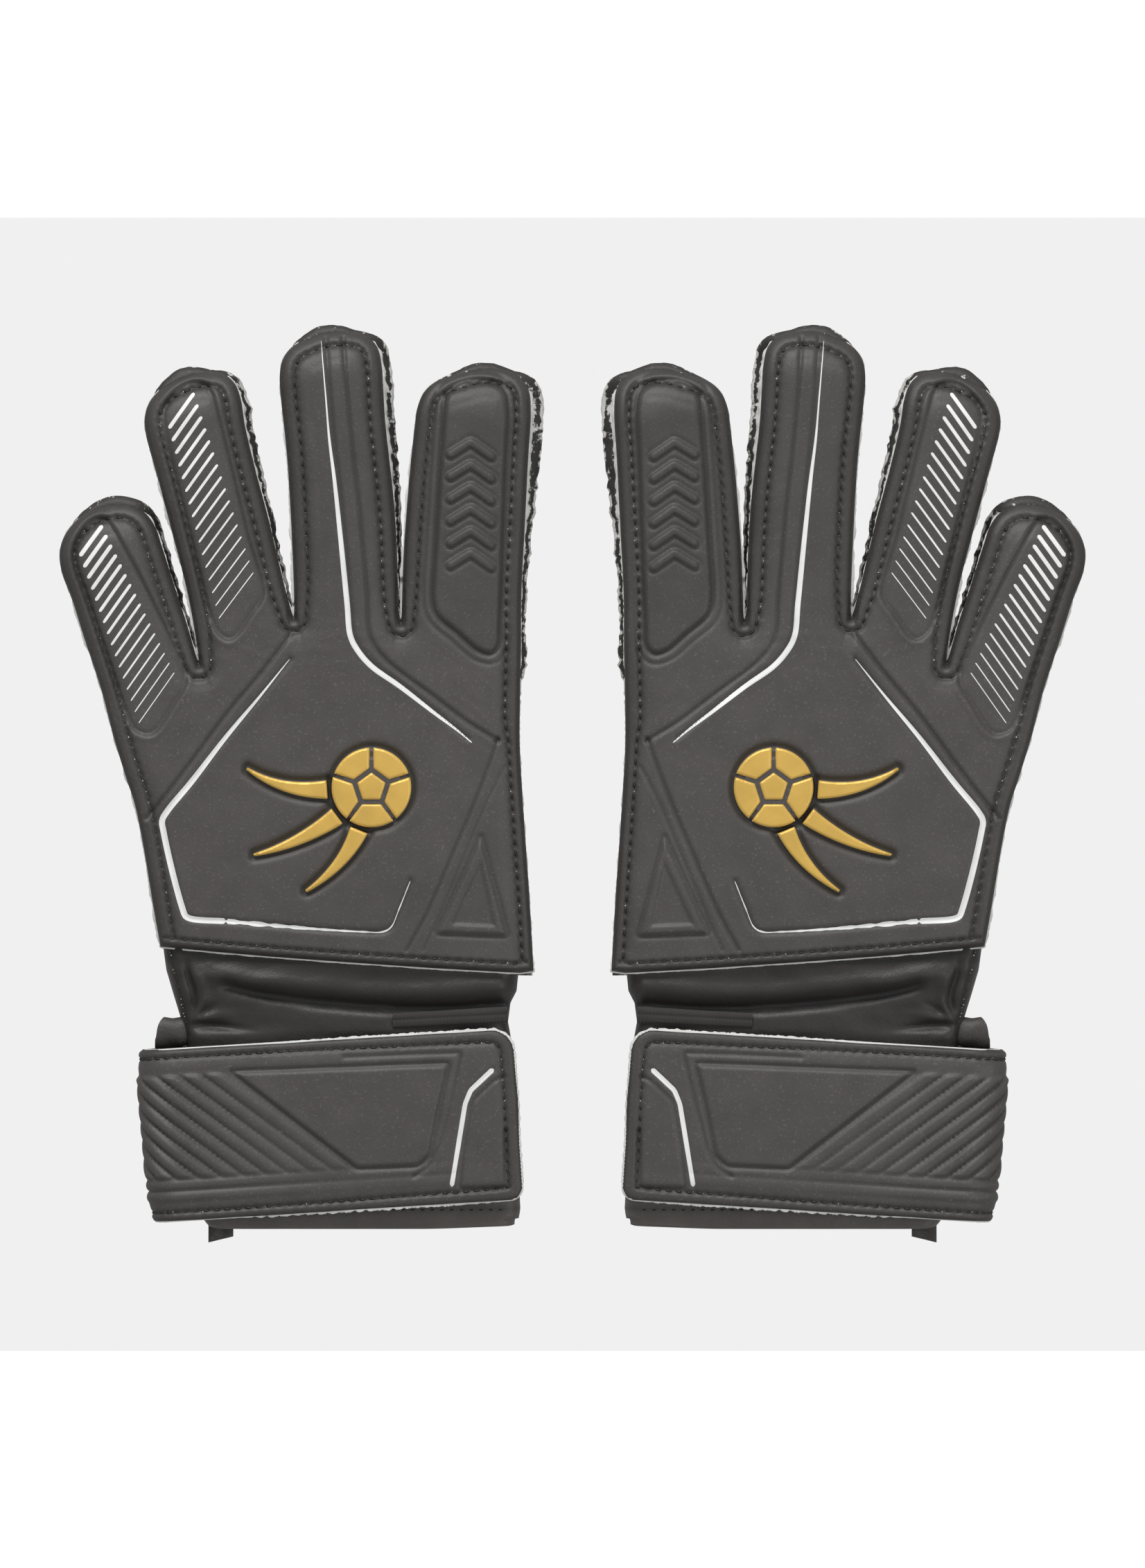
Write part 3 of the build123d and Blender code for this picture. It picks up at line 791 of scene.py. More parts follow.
# ================================ seams and prints ================================
def stitch_mesh(path, surface, pitch=STITCH, length=2.3, radius=0.31, closed=False, seed=1):
    """Thread stitches along a plane path, lying on surface(points) -> 3-D points."""
    path = resample(path, pitch / 2)[:-1]
    a, m, b = path[0:-2:2], path[1:-1:2], path[2::2]
    k = min(len(a), len(m), len(b))
    a, m, b = a[:k], m[:k], b[:k]
    share = length / pitch
    a, b = m + (a - m) * share, m + (b - m) * share
    pa, pm, pb = surface(a), surface(m), surface(b)
    along = pb - pa
    along /= lengths(along)[:, None]
    up = surface(m, 1.0) - pm
    up /= lengths(up)[:, None]
    side = np.cross(along, up)
    rings, sides = 7, 7
    turn = 2 * math.pi * np.arange(sides) / sides
    verts = []
    for x in np.linspace(-1, 1, rings):
        r = radius * math.sqrt(max(0.06, 1 - abs(x) ** 4))
        centre = pm + along * (x * length / 2) + up * (0.10 - 0.5 * abs(x) ** 3)
        for q in turn:
            verts.append(centre + side * r * math.cos(q) + up * r * math.sin(q))
    verts = np.stack(verts, 1)
    top = (rings - 1) * sides
    ends = [(0, i + 1, i) for i in range(1, sides - 1)]
    ends += [(top, top + i, top + i + 1) for i in range(1, sides - 1)]
    faces = copies(np.vstack([strips((rings, sides), closed=True), ends]), rings * sides, k)
    rng = np.random.default_rng(seed)
    chosen = rng.random(k) < 0.55
    spots = pb[chosen] + side[chosen] * rng.uniform(-0.5, 0.5, (chosen.sum(), 1)) + up[chosen] * 0.05
    return verts.reshape(-1, 3), faces, spots


def specks(spots, seed=2):
    """Tiny crumbs of white foam round the needle holes."""
    rng = np.random.default_rng(seed)
    corners = np.array([(1, 0, 0), (-1, 0, 0), (0, 1, 0), (0, -1, 0), (0, 0, 1), (0, 0, -1)], float)
    faces = np.array([(0, 2, 4), (2, 1, 4), (1, 3, 4), (3, 0, 4), (2, 0, 5), (1, 2, 5), (3, 1, 5), (0, 3, 5)])
    size = rng.uniform(0.10, 0.24, (len(spots), 1, 1))
    v = spots[:, None, :] + corners[None] * size * rng.uniform(0.6, 1.4, (len(spots), 1, 3))
    return v.reshape(-1, 3), copies(faces, 6, len(spots))


def on_back(p, lift=0.0):
    return columns(p, back_height(p)[0] + lift)


def join(parts):
    verts, faces, count = [], [], 0
    for v, f in parts:
        verts.append(v)
        faces.append(f + count)
        count += len(v)
    return np.vstack(verts), np.vstack(faces)


def outward(path):
    return sideways(np.gradient(path, axis=0))


seam_path = []
for k, run in enumerate(runs):
    off = seam_offset(run)
    seam_path.append(run - outward(run) * off[:, None])
    if k < len(CROTCHES):
        r = float(seam_offset(CROTCHES[k][None])[0])
        a = np.linspace(math.pi, 2 * math.pi, 14)[1:-1]
        seam_path.append(CROTCHES[k] + r * columns(np.cos(a), np.sin(a)))
seam_path = np.vstack(seam_path)
depth = nearest(seam_path, OUTLINE, closed=True)[0]
seam_path = seam_path[depth > seam_offset(seam_path) - 0.5]
seam_path = seam_path[seam_path[:, 1] > np.interp(seam_path[:, 0], [11, 119], [-51.5, -44.5])]
hem_path = resample(HEM, 1.0) + np.array([0, HEM_SEAM])
hem_path = hem_path[(hem_path[:, 0] > 12.6) & (hem_path[:, 0] < 117.5)]
v1, f1, spots1 = stitch_mesh(seam_path, on_back)
v2, f2, spots2 = stitch_mesh(hem_path, on_back, radius=0.42, seed=5)
make_split("stitches", *join([(v1, f1), (v2, f2)]), THREAD)
make_split("foam_crumbs", *specks(np.vstack([spots1, spots2])), FOAM)


def ribbon(path, widths, surface, lift=0.07, step=0.6, across=4, blunt=1.0):
    """A thin printed line that lies on a surface, with rounded ends. A blunt end is squarer."""
    path = np.asarray(path, float)
    widths = np.interp(np.linspace(0, 1, len(path)), np.linspace(0, 1, len(widths)), widths)
    line = resample(columns(path, widths), step)
    p, w = line[:, :2], line[:, 2]
    run = np.concatenate([[0], np.cumsum(lengths(np.diff(p, axis=0)))])
    ends = np.minimum(run, run[-1] - run) + 0.02
    w = w * rounded(2 * blunt * ends, w, 0.02)
    n = outward(p)
    rows = []
    for t, drop in [(-1, -0.14)] + [(x, 0) for x in np.linspace(-1, 1, across + 1)] + [(1, -0.14)]:
        rows.append(surface(p + n * (w * t / 2)[:, None], lift + drop))
    return np.vstack(rows), strips((len(rows), len(p)))


LINE_ONE = curve([(72.6, 128), (71.2, 112), (70.2, 100), (68.7, 88), (67, 72), (65, 52), (64, 42.5),
                  (61.6, 38), (57.8, 33.8), (50, 28.3), (40, 20.6), (33, 15.3), (29, 11.9)], 0.8)
LINE_TWO = curve([(81.6, 36), *PRINTED[1:]], 0.8)
LINE_WORN = curve(WORN, 0.8)
# the stripes of the little and the ring finger: both ends of the first and of the last, and the
# first one's width
STRIPES = ((((135.8, 74.7), (142.2, 65.8)), ((114.9, 32.1), (125.1, 17.6)), 1.25),
           (((109.3, 113), (116.5, 102.7)), ((92.1, 61), (102, 47.8)), 1.1))
prints = []
for i in range(16):
    t = i / 15
    for stripe, last, width in STRIPES:
        a, b = np.array(stripe) * (1 - t) + np.array(last) * t
        w = width * (1 - t) + 0.28 * t
        prints.append(ribbon(resample([a, b], 0.5), [w, w], on_back, step=0.5, blunt=3.0))
widths_one = [0.15, 0.35, 0.5, 0.85, 1.15, 1.35, 1.5, 1.55, 1.6, 1.55, 1.3, 0.9, 0.3]
prints.append(ribbon(LINE_ONE, widths_one, on_back))
prints.append(ribbon(LINE_TWO, [0.2, 0.6, 1.05, 1.35, 1.65, 1.75, 1.75, 1.75, 1.75, 1.7], on_back))
worn_share = np.linspace(0, 1, len(LINE_WORN))
worn_width = np.interp(worn_share, [0, 0.25, 0.5, 0.75, 1], [1.45, 1.05, 0.6, 0.35, 0.25])
worn_width = worn_width * (1 + 0.35 * wobble(np.arange(len(LINE_WORN)), 8, 0.9))
prints.append(ribbon(LINE_WORN, np.clip(worn_width, 0.15, 1.5), on_back, lift=0.05))
make_split("white_print", *join(prints), PRINT)

# ---- gold crest ---------------------------------------------------------------------
crest_parts = []
for shape in CREST:
    p, t = lattice(shape, 0.42)
    d = nearest(p, shape, closed=True)[0]
    top = columns(p, base_height(p) + 0.62 * rounded(d, 0.75) - 0.12)
    a, b = top[rim(t)].transpose(1, 0, 2)
    down = [0, 0, 0.9]
    n = len(a)
    i = np.arange(n)
    wall = np.vstack([columns(i + n, i, i + 2 * n), columns(i + n, i + 2 * n, i + 3 * n)])
    crest_parts += [(top, t), (np.vstack([a, b, a - down, b - down]), wall)]
make("crest", *join(crest_parts), GOLD, stands_for=("crest",), flat_angle=50)

# ================================ palm and gussets ================================
RECESS = np.array([(5, -52), (28, -51), (73, -9), (81, 6), (80, 26), (64, 35), (44, 33), (5, 16)], float)
RING_STEP = 1.2
ring = loop(OUTLINE, RING_STEP)
ring_n = sideways(np.roll(ring, -1, 0) - np.roll(ring, 1, 0))
ring_n = np.roll(ring_n, 1, 0) + 2 * ring_n + np.roll(ring_n, -1, 0)
ring_n /= lengths(ring_n)[:, None] + 1e-9
ring_owner = finger_of(ring - ring_n * 1.5)
ring_arc = np.arange(len(ring)) * RING_STEP
on_hem = nearest(ring, hem)[0] < 0.4
lead = np.zeros(len(ring))             # how far the palm's edge shows beyond the back's
tipness = np.zeros(len(ring))          # 1 where the palm wraps over a fingertip
for k, name in enumerate(NAMES):
    _, across, along = finger_axes(name)
    mine = ring_owner == k
    u, s = finger_place(ring, name)
    nu, ns = ring_n @ across, ring_n @ along
    far = smooth(s, 20, 30)
    beside = np.clip(-nu, 0, 1) ** 0.7 * FINGERS[name]["lead"]
    beside = beside * (0.4 + 0.6 * smooth(s, 10, 60)) * smooth(s, -6, 6) * (1 - smooth(ns, 0.55, 1.0))
    high, wide, middle = FINGERS[name]["bump"]
    over_tip = high * bell(u - middle, wide) * smooth(ns, 0.1, 0.6) * far
    amount = over_tip + beside - 0.7 * np.clip(nu, 0, 1) * (1 - smooth(ns, 0.3, 0.8))
    lead[mine] = amount[mine]
    tipness[mine] = (smooth(ns, 0.15, 0.7) * smooth(0.8 - nu, 0, 0.3) * far)[mine]
hand_edge = ring_owner < 0
low_x = ring[:, 0] < 40
lead[hand_edge & low_x] = (-0.5 + 2.2 * smooth(ring[:, 1], 18, 42))[hand_edge & low_x]
lead[hand_edge & ~low_x & (ring_n[:, 0] > 0)] = -0.6
lead, tipness = blur(lead, 3), blur(tipness, 3)
ragged = 0.30 * wobble(ring_arc, 11, 1.1) + 0.2 * wobble(ring_arc, 12, 3.1)
palm_ring = ring + ring_n * (lead + ragged * (1 - on_hem) * (1 - 0.75 * tipness))[:, None]
palm_ring[on_hem, 1] = np.interp(ring[on_hem, 0], [14, 60, 118], [-55.6, -54.0, -48.6])


def palm_lift(p):
    """How far the palm is pushed up from the floor by the folded thumb."""
    lift = np.zeros(len(p))
    k, d = area_distance(p, RECESS, 1)
    lift[k] = 8.6 * smooth(d, 0, 6)
    return lift


edge_z = back_height(ring - ring_n * 0.05)[0]
rim_z = 7.2 + (edge_z - 8.0) * tipness + 0.5 * wobble(ring_arc, 13, 0.3) * (1 - tipness)
rim_z = np.maximum(rim_z, palm_lift(palm_ring) + 3.2)
rim_z[on_hem] = palm_lift(palm_ring[on_hem]) + 3.3
rim_z = blur(rim_z, 2)
floor_z = palm_lift(palm_ring)
roll = np.minimum(4.6, rim_z - floor_z - 0.9)
rows, worn = [], []


def palm_row(out, z, wear):
    """A row round the palm's rolled edge: outwards from it, its height, and how pale it is."""
    rows.append(columns(palm_ring + ring_n * np.broadcast_to(out, len(ring))[:, None], z))
    worn.append(wear * (1 - 0.55 * tipness) * (0.95 + 0.35 * wobble(ring_arc, 14, 0.12)))


shelf = np.clip(lead - 0.35 + 0.7 * tipness, 2.0, 3.5)
palm_row(-shelf, rim_z + 0.6 + 0.25 * shelf * (1 - 0.5 * tipness), 0.55)
palm_row(-0.7 * shelf, rim_z + 0.5 + 0.15 * shelf, 0.30)
palm_row(-0.4 * shelf, rim_z + 0.4, 0.14)
palm_row(-0.5, rim_z - 0.15, 0.40)
palm_row(0.0, rim_z - 0.8, 0.62)
palm_row(0.12, (rim_z - 0.8) * 0.5 + (floor_z + roll) * 0.5, 0.42)
for a in np.radians([0, 18, 36, 54, 72, 90]):
    palm_row(-roll * (1 - math.cos(a)), floor_z + roll * (1 - math.sin(a)), 0.25 - 0.1 * math.sin(a))
rows, worn = np.stack(rows), np.stack(worn)
shape = rows.shape[:2]
palm_v = rows.reshape(-1, 3)
palm_t = strips(shape, closed=True)
count = shape[1]
fill_v, fill_t = fill(rows[-1][:, :2], 2.2)
inner = fill_v[count:]
inner_z = np.maximum(palm_lift(inner) + 0.12 * wobble2(fill_v, 15, 22)[count:], 0)
remap = np.concatenate([len(palm_v) - count + np.arange(count), len(palm_v) + np.arange(len(inner))])
a, b, c = fill_v[fill_t].transpose(1, 0, 2)
turn = (b[:, 0] - a[:, 0]) * (c[:, 1] - a[:, 1]) - (b[:, 1] - a[:, 1]) * (c[:, 0] - a[:, 0])
fill_t[turn > 0] = fill_t[turn > 0][:, ::-1]
palm_v = np.vstack([palm_v, columns(inner, inner_z)])
palm_t = np.vstack([palm_t, remap[fill_t]])
palm_worn = np.concatenate([worn.ravel(), np.full(len(inner), -0.03)])
palm_dark = np.concatenate([np.broadcast_to(0.85 - 0.2 * tipness, shape).ravel(), np.full(len(inner), 0.6)])
make_split("palm", palm_v, palm_t, LATEX, "palm_panel", "palm", soft=0.6,
           marks={"worn": palm_worn, "groove": palm_dark})

# the cloth wall, all round but for the hem, with one point of the hem at each end
order = np.flatnonzero(~on_hem)
order = np.concatenate([[order[0] - 1], order, [order[-1] + 1]]) % len(ring)
crotch = 1.6 * np.max([np.exp(-((ring - c) ** 2).sum(1) / 7) for c in CROTCHES], axis=0)
gathers = 0.55 + 0.28 * np.sin(ring_arc * 2 * math.pi / 4.7 + wobble(ring_arc, 17, 0.15))
wall_rows = []
for t in np.linspace(0, 1, 9):
    bulge = math.sin(math.pi * t) * gathers * (lead > -0.3) * (1 + crotch)
    xy = (ring - ring_n * 0.9) * (1 - t) + (palm_ring - ring_n * (shelf - 0.4)[:, None]) * t
    z = (edge_z - 2.5) * (1 - t) + (rim_z + 0.3) * t
    wall_rows.append(columns(xy + ring_n * bulge[:, None], z)[order])
wall_rows = np.stack(wall_rows)
LEAST_WIDTH = 10.5         # a sheet can't be narrower than 10 mm
wall_height = np.linalg.norm(np.diff(wall_rows, axis=0), axis=2).sum(0).mean()
make_split("gusset", wall_rows.reshape(-1, 3), strips(wall_rows.shape[:2]), GUSSET, "side_gussets",
           "gusset", cloth=("stretched", max(wall_height, LEAST_WIDTH), None, 1, ()))

# ================================ wrist strap ================================
STRAP_AT, STRAP_TURN = np.array([114.34, -101.5]), math.radians(3.6)
STRAP_R = 9.7              # outer radius where it passes round the wrist
STRAP_END, STRAP_TAIL, STRAP_HALF = -99.0, 78.5, 25.0
COS, SIN = math.cos(STRAP_TURN), math.sin(STRAP_TURN)


def strap_local(points):
    """Along the strap (negative towards its free end) and across it."""
    d = np.asarray(points, float) - STRAP_AT
    return columns(d[:, 0] * COS - d[:, 1] * SIN, d[:, 0] * SIN + d[:, 1] * COS)


def strap_plan(u, v):
    """The place in the plane of a point along and across the strap."""
    return STRAP_AT[0] + u * COS + v * SIN, STRAP_AT[1] - u * SIN + v * COS


def strap_place(p, out):
    """The place of a point of the unrolled strap, out above its outer face."""
    u, v = p[:, 0], p[:, 1]
    a = np.clip(u / STRAP_R, 0, math.pi)
    r = STRAP_R + out
    half_turn = math.pi * STRAP_R
    x = np.where(u < 0, u, np.where(u > half_turn, half_turn - u, 0)) + r * np.sin(a)
    return columns(*strap_plan(x, v), STRAP_R + r * np.cos(a))


def arc(centre, r, a0, a1, n=9):
    a = np.radians(np.linspace(a0, a1, n))
    return columns(centre[0] + r * np.cos(a), centre[1] + r * np.sin(a))


STRAP_EDGE = resample(np.vstack([
    [(STRAP_TAIL, STRAP_HALF), (0, STRAP_HALF + 0.1), (-50, STRAP_HALF), (-70, STRAP_HALF - 0.1)],
    arc((STRAP_END + 6.8, STRAP_HALF - 6.9), 6.8, 90, 180), [(STRAP_END - 0.2, 5), (STRAP_END + 0.1, -10)],
    arc((STRAP_END + 3.9, -STRAP_HALF + 3.9), 3.9, 180, 270),
    [(-50, -STRAP_HALF), (-20, -STRAP_HALF + 0.1), (STRAP_TAIL, -STRAP_HALF)]]), 0.8)
STRAP_OUTLINE = np.vstack([STRAP_EDGE, resample([STRAP_EDGE[-1], STRAP_EDGE[0]], 0.8)[1:-1]])


def soft_line(points, size=2.4, step=0.4):
    """Straight runs with a small rounding at each bend."""
    p = resample(points, step)
    n = max(1, int(size / step / 2))
    q = np.vstack([np.repeat(p[:1], n, 0), p, np.repeat(p[-1:], n, 0)])
    even = np.ones(2 * n + 1) / (2 * n + 1)
    mean = columns(*[np.convolve(q[:, k], even, "valid") for k in range(2)])
    mean[0], mean[-1] = p[0], p[-1]
    return mean


def strap_seam(p):
    return 2.7 + 0.9 * smooth(-p[:, 0], 10, 99) + 0.6 * smooth(-p[:, 0], 88, 99)


SMOOTH_PANEL = strap_local(soft_line([(80, -82.2), (35.4, -80.5), (38.4, -94), (41.0, -107.3), (44.6, -110.6),
                                      (62.3, -111.3), (99.2, -82.9), (80, -82.2)], 2.0, 0.8)[:-1])
STRAP_GROOVES = [(strap_local(soft_line(p)), w, d) for p, w, d in (
    ([(66, -78.9), (45, -78.0), (32.1, -77.6), (35.2, -91.8), (38.6, -104.5), (41.6, -110.8),
      (46, -113.4)], 0.65, 0.5),
    ([(19.6, -84.5), (22.6, -85.6), (28.9, -91.6), (29.8, -96), (31.2, -104), (32.6, -116.9), (19.4, -116.6),
      (19.2, -100)], 0.6, 0.5),
    ([(22.7, -82.3), (29.2, -88.3), (30.7, -91.8), (32.5, -100), (34.7, -116.3)], 0.8, 0.3),
)]


def row_of_rolls(x, start, pitch, depth):
    """Rolls side by side, with a sharp valley every pitch from start on."""
    t = 2 * (((x - start) / pitch) % 1) - 1
    return np.sqrt(1 - depth * t * t)


def strap_height(p):
    """Height of the strap's skin over its outer face, and how dark each point is: painted shade in the
    pressed lines, the ribs' valleys and on the rolled edge and margin, and the dark seam.
    """
    u, v = p[:, 0], p[:, 1]
    edge, at, _ = nearest(p, STRAP_EDGE)
    h = 0.22 * wobble2(p, 21, 30) + 0.07 * wobble2(p, 22, 9) - 0.25
    h -= 1.3 * (1 - rounded(edge, 2.2))
    seam = strap_seam(p)
    h -= 0.35 * (1 - smooth(edge, seam + 0.4, seam + 3))
    cut = bell(edge - seam, 0.6)
    h -= 0.7 * cut * pulled(at)
    before = h.copy()
    x, y = strap_plan(u, v)
    phase = 0.59 * x - 0.808 * y
    fade = 1 - smooth(u, 20, 29)
    slanted = smooth(phase, 126.4, 127.4) * smooth(v, -13.2, -11.6) * smooth(-v, -17.8, -16.4) * fade
    h += slanted * (1.05 + 0.95 * smooth(u, -34, 2)) * (row_of_rolls(phase, 126.9, 4.1, 0.95) - 0.5)
    level = smooth(-v, 12.4, 13.4) * smooth(v, -20.1, -19.1) * fade * (0.5 + 0.9 * smooth(u, -55, -4))
    level = level * smooth(u, -83, -76) * ((v > -20.2) & (v < -12.4))
    h += level * (0.95 * row_of_rolls(v, -12.6, 3.45, 0.93) - 0.5)
    k, d = area_distance(p, SMOOTH_PANEL, 3)
    h[k] += 0.55 * smooth(d, 0.1, 1.6) - 0.65 * bell(d, 0.65)
    for path, width, depth in STRAP_GROOVES:
        groove(p, path, width, 1.4 * depth, h)
        groove(p, path, 2.4 * width, -0.25 * depth, h)
    h += 0.35 * bell(u + 68, 30) * bell(v, 14)
    # painted shade: darker in the pressed lines and rib valleys, on the rolled edge and in the margin inside
    # the seam; the seam and its needle holes are dark
    dark = darkest(np.clip((before - h - 0.1) * 0.9, 0, 0.7),
                   holes(at) * cut,
                   0.55 * (1 - smooth(edge, 0.2, 2.2)),
                   0.22 * (1 - smooth(edge, seam + 0.2, seam + 2.6)))
    h += 0.85 * smooth(v, -24, 20) * np.exp(-(((u - 15) / 9) ** 4))
    under = smooth(u, 22, 30)
    return h * (1 - under) + (np.minimum(h, 0) - 0.05) * under, dark


p, t = lattice(STRAP_OUTLINE, 0.62)
h, dark = strap_height(p)
v = strap_place(p, h)
n = vertex_normals(v, t)
if ((strap_place(p, 1.0) - strap_place(p, 0.0)) * n).sum() < 0:
    t, n = t[:, ::-1], -n
FLAP_BEND = ("strap", (*strap_plan(6, 0), 17.0), (*strap_plan(-12, 0), 17.0))


def strap_pieces(name, p, v, t, mat, flap_nodes=(), tail_nodes=(), **rest):
    """The flap is split from the tail and given no body, and the tail stays with the hand."""
    tail = p[t][:, :, 0].mean(1) > 15
    parts = [("strap_flap", ~tail, FLAP_BEND, flap_nodes), ("strap_tail", tail, None, tail_nodes)]
    make_parts(name, v, t, mat, parts, **rest)


strap_pieces("skin", p, v, t, LEATHER, ("strap_flap",), ("strap_anchor",), soft=0.7, normals=n,
             marks={"groove": dark})

# cut foam edge, a little ragged, and the cloth inside
edge = resample(STRAP_EDGE, 0.5)
side = -outward(edge)
at = np.arange(len(edge)) * 0.5
rag = 0.5 + 0.5 * wobble(at, 31, 1.1) + 0.3 * wobble(at, 32, 4.0)
u, v = edge[:, 0], edge[:, 1]
near_wrist = smooth(-u, 12, 30) * smooth(u, -96, -80)
frayed = np.where(v > 20, 0.95 * smooth(-u, 26, 62), np.where(v < -20, near_wrist, 0.55))
frayed = 0.04 + 0.96 * np.where(u > 5, 0.15, frayed)
rag = (0.25 + np.clip(rag, -0.5, 1.2)) * 0.42 * frayed
frows = []
for o, z in ((-0.6, -1.3), (-0.2, -1.45), (0.02, -1.65), (0.04, -2.3), (-0.05, -2.9), (-0.35, -3.25),
             (-0.8, -3.3)):
    frows.append(strap_place(edge + side * (o + rag * (o > -0.3))[:, None], np.full(len(edge), z)))
strap_pieces("foam", np.tile(edge, (len(frows), 1)), np.vstack(frows), strips((len(frows), len(edge))), FOAM)
p, t = lattice(STRAP_OUTLINE, 1.6)
v = strap_place(p, np.full(len(p), -3.3) + 0.06 * wobble2(p, 33, 8))
strap_pieces("inside", p, v, t[:, ::-1], LINING, cloth=("laid", 2 * STRAP_HALF, None, 1, ()))


def on_strap(p, lift=0.0):
    return strap_place(p, strap_height(p)[0] + lift)


path = STRAP_EDGE + outward(STRAP_EDGE) * strap_seam(STRAP_EDGE)[:, None]
path = path[(nearest(path, STRAP_EDGE)[0] > strap_seam(path) - 0.35) & (path[:, 0] < STRAP_TAIL - 3)]
sv, sf, spots = stitch_mesh(path, on_strap, pitch=3.0, length=2.2, radius=0.34, seed=6)
line = resample(path, 1.5)[:-1]
per_stitch = 49            # points of one stitch
flat_u = np.repeat(line[1:-1:2, 0][:len(sv) // per_stitch], per_stitch)
strap_pieces("stitches", columns(flat_u, flat_u), sv, sf, THREAD)
make("strap_crumbs", *specks(spots[spots[:, 2] > 12], 7), FOAM, bend=FLAP_BEND)
line = strap_local(soft_line([(22.8, -82.3), (29.4, -88.5), (31.0, -92.4), (34.9, -116.3)], 1.1, 0.5))
make("strap_print", *ribbon(line, [1.5, 1.45, 1.35, 1.4, 1.4, 1.3, 1.35], on_strap), PRINT, bend=FLAP_BEND)


def slab(outline, low, high, h, spread=0.0):
    """A thin closed layer between two heights of the unrolled strap."""
    p, t = lattice(outline, h)
    wave = spread * wobble2(p, 41, 7)
    v = np.vstack([strap_place(p, z - STRAP_R * 2 + wave) for z in (high, low)])
    return v, sheet_faces(t, len(p))


def rectangle(x0, x1, y0, y1, step=0.8):
    return loop([(x0, y0), (x1, y0), (x1, y1), (x0, y1)], step)


def inset_outline(outline, amount):
    n = sideways(np.roll(outline, -1, 0) - np.roll(outline, 1, 0))
    n *= np.sign(((outline.mean(0) - outline) * n).sum(1).mean())
    return outline + n * amount


flap_line = STRAP_OUTLINE[STRAP_OUTLINE[:, 0] < -0.6]
v, t = slab(inset_outline(loop(flap_line, 0.8), 1.0), 15.2, 15.9, 1.3, 0.04)
make("strap_lining", v, t, LINING, bend=FLAP_BEND, stands_for=("strap_lining",), flat_angle=60,
     cloth=("laid", 2 * STRAP_HALF - 2, -STRAP_END - 1.6, 2, ()))
v, t = slab(rectangle(-94.6, -59.4, -19.6, 19.6), 14.45, 15.05, 1.2)
make("hook_base", v, t, HOOK, "strap", flat_angle=60)
grid = np.stack(np.meshgrid(np.arange(-94, -60, 1.35), np.arange(-19, 19.2, 1.25)), -1).reshape(-1, 2)
grid[:, 0] += 0.6 * ((np.round((grid[:, 1] + 19) / 1.25) % 2) - 0.5)
pin = np.array([(0.22, 0, 14.5), (-0.11, 0.19, 14.5), (-0.11, -0.19, 14.5), (0.34, 0, 14.12),
                (-0.17, 0.29, 14.12), (-0.17, -0.29, 14.12), (0.1, 0, 14.0)])
pin_faces = np.array([(0, 3, 4), (0, 4, 1), (1, 4, 5), (1, 5, 2), (2, 5, 3), (2, 3, 0), (3, 6, 4), (4, 6, 5),
                      (5, 6, 3)])
nothing = np.zeros(len(grid))
pins = columns(strap_place(grid, nothing)[:, :2], nothing)[:, None] + pin
make("hook_patch", pins.reshape(-1, 3), copies(pin_faces, len(pin), len(grid)), HOOK, "strap",
     stands_for=("hook_patch",))
LOOP_HALF = 20.8           # half width of the loop patch
loop_line = rectangle(-94.8, -35.2, -LOOP_HALF, LOOP_HALF)
p, t = lattice(loop_line, 0.7)
rng = np.random.default_rng(51)
pile = rng.uniform(-0.22, 0.1, len(p)) - 0.5 * (1 - smooth(nearest(p, loop_line, True)[0], 0, 1.0))
make("loop_patch", strap_place(p, 14.0 + pile - 2 * STRAP_R), t, PILE, stands_for=("loop_patch",),
     cloth=("laid", 2 * LOOP_HALF, None, 1, ("cuff_back",)))

# ================================ cuff ================================
CUFF_LEFT = np.array([(15.6, -46), (15.7, -55), (16.2, -60), (18, -63.5), (18.7, -69), (17.6, -75),
                      (16.8, -90), (16, -105), (15.4, -118), (15.1, -123.5), (15.6, -126.0), (16.8, -127.2)])
CUFF_RIGHT = np.array([(118.8, -46), (117.7, -54), (115.4, -62), (113.6, -68), (112.4, -73), (111.4, -80),
                       (110.9, -100), (110.4, -115), (108.5, -124), (106.4, -127.6), (105, -128.8)])
CUFF_FLOOR, CUFF_ROUND = 3.8, 4.6      # height of the cuff's underside, and radius of its sides
CUFF_HEM = -123.4
RIDGE = curve([(108.6, -53.6), (98, -55.6), (80, -57.9), (60, -59.4), (40, -59.7), (18, -58.4)], 1.0)
VALLEY = curve([(103, -57), (95, -59.6), (88, -61.1), (70, -63.4), (49, -64.9), (18, -63.6)], 1.0)
SECOND = curve([(98, -64), (86, -66.3), (70, -68), (52, -68.6)], 1.0)
FOLD = curve([(109.6, -51), (108.8, -54), (107.2, -59), (107.6, -64.5), (110.6, -70)], 1.0)
CREASE = curve([(111.6, -51), (110.9, -56), (109.5, -61), (110.4, -66.5), (112, -70)], 1.0)
PUCKERS = [(curve(p, 1.0), height, width) for p, height, width in (
    ([(110.8, -69.4), (104.7, -69.9), (98, -70.7), (90, -71.4)], -1.3, 1.3),
    ([(110.4, -72.2), (104.7, -74.2), (98.5, -75.2)], 0.6, 1.2),
    ([(109.6, -68.4), (101.5, -66.8), (92, -66.2)], 0.8, 1.5),
    ([(110, -68.2), (104.7, -64.9), (100, -61.6)], -1.2, 1.1),
    ([(109.8, -66), (107.2, -60.5), (105.6, -56.4)], -1.0, 0.9))]
SEAM_LINE = curve([(116.4, -47.5), (115.0, -54), (113.1, -62), (111.7, -69), (111.2, -73)], 0.8)


def cuff_edges(y):
    return [np.interp(-y, -side[:, 1], side[:, 0]) for side in (CUFF_LEFT, CUFF_RIGHT)]


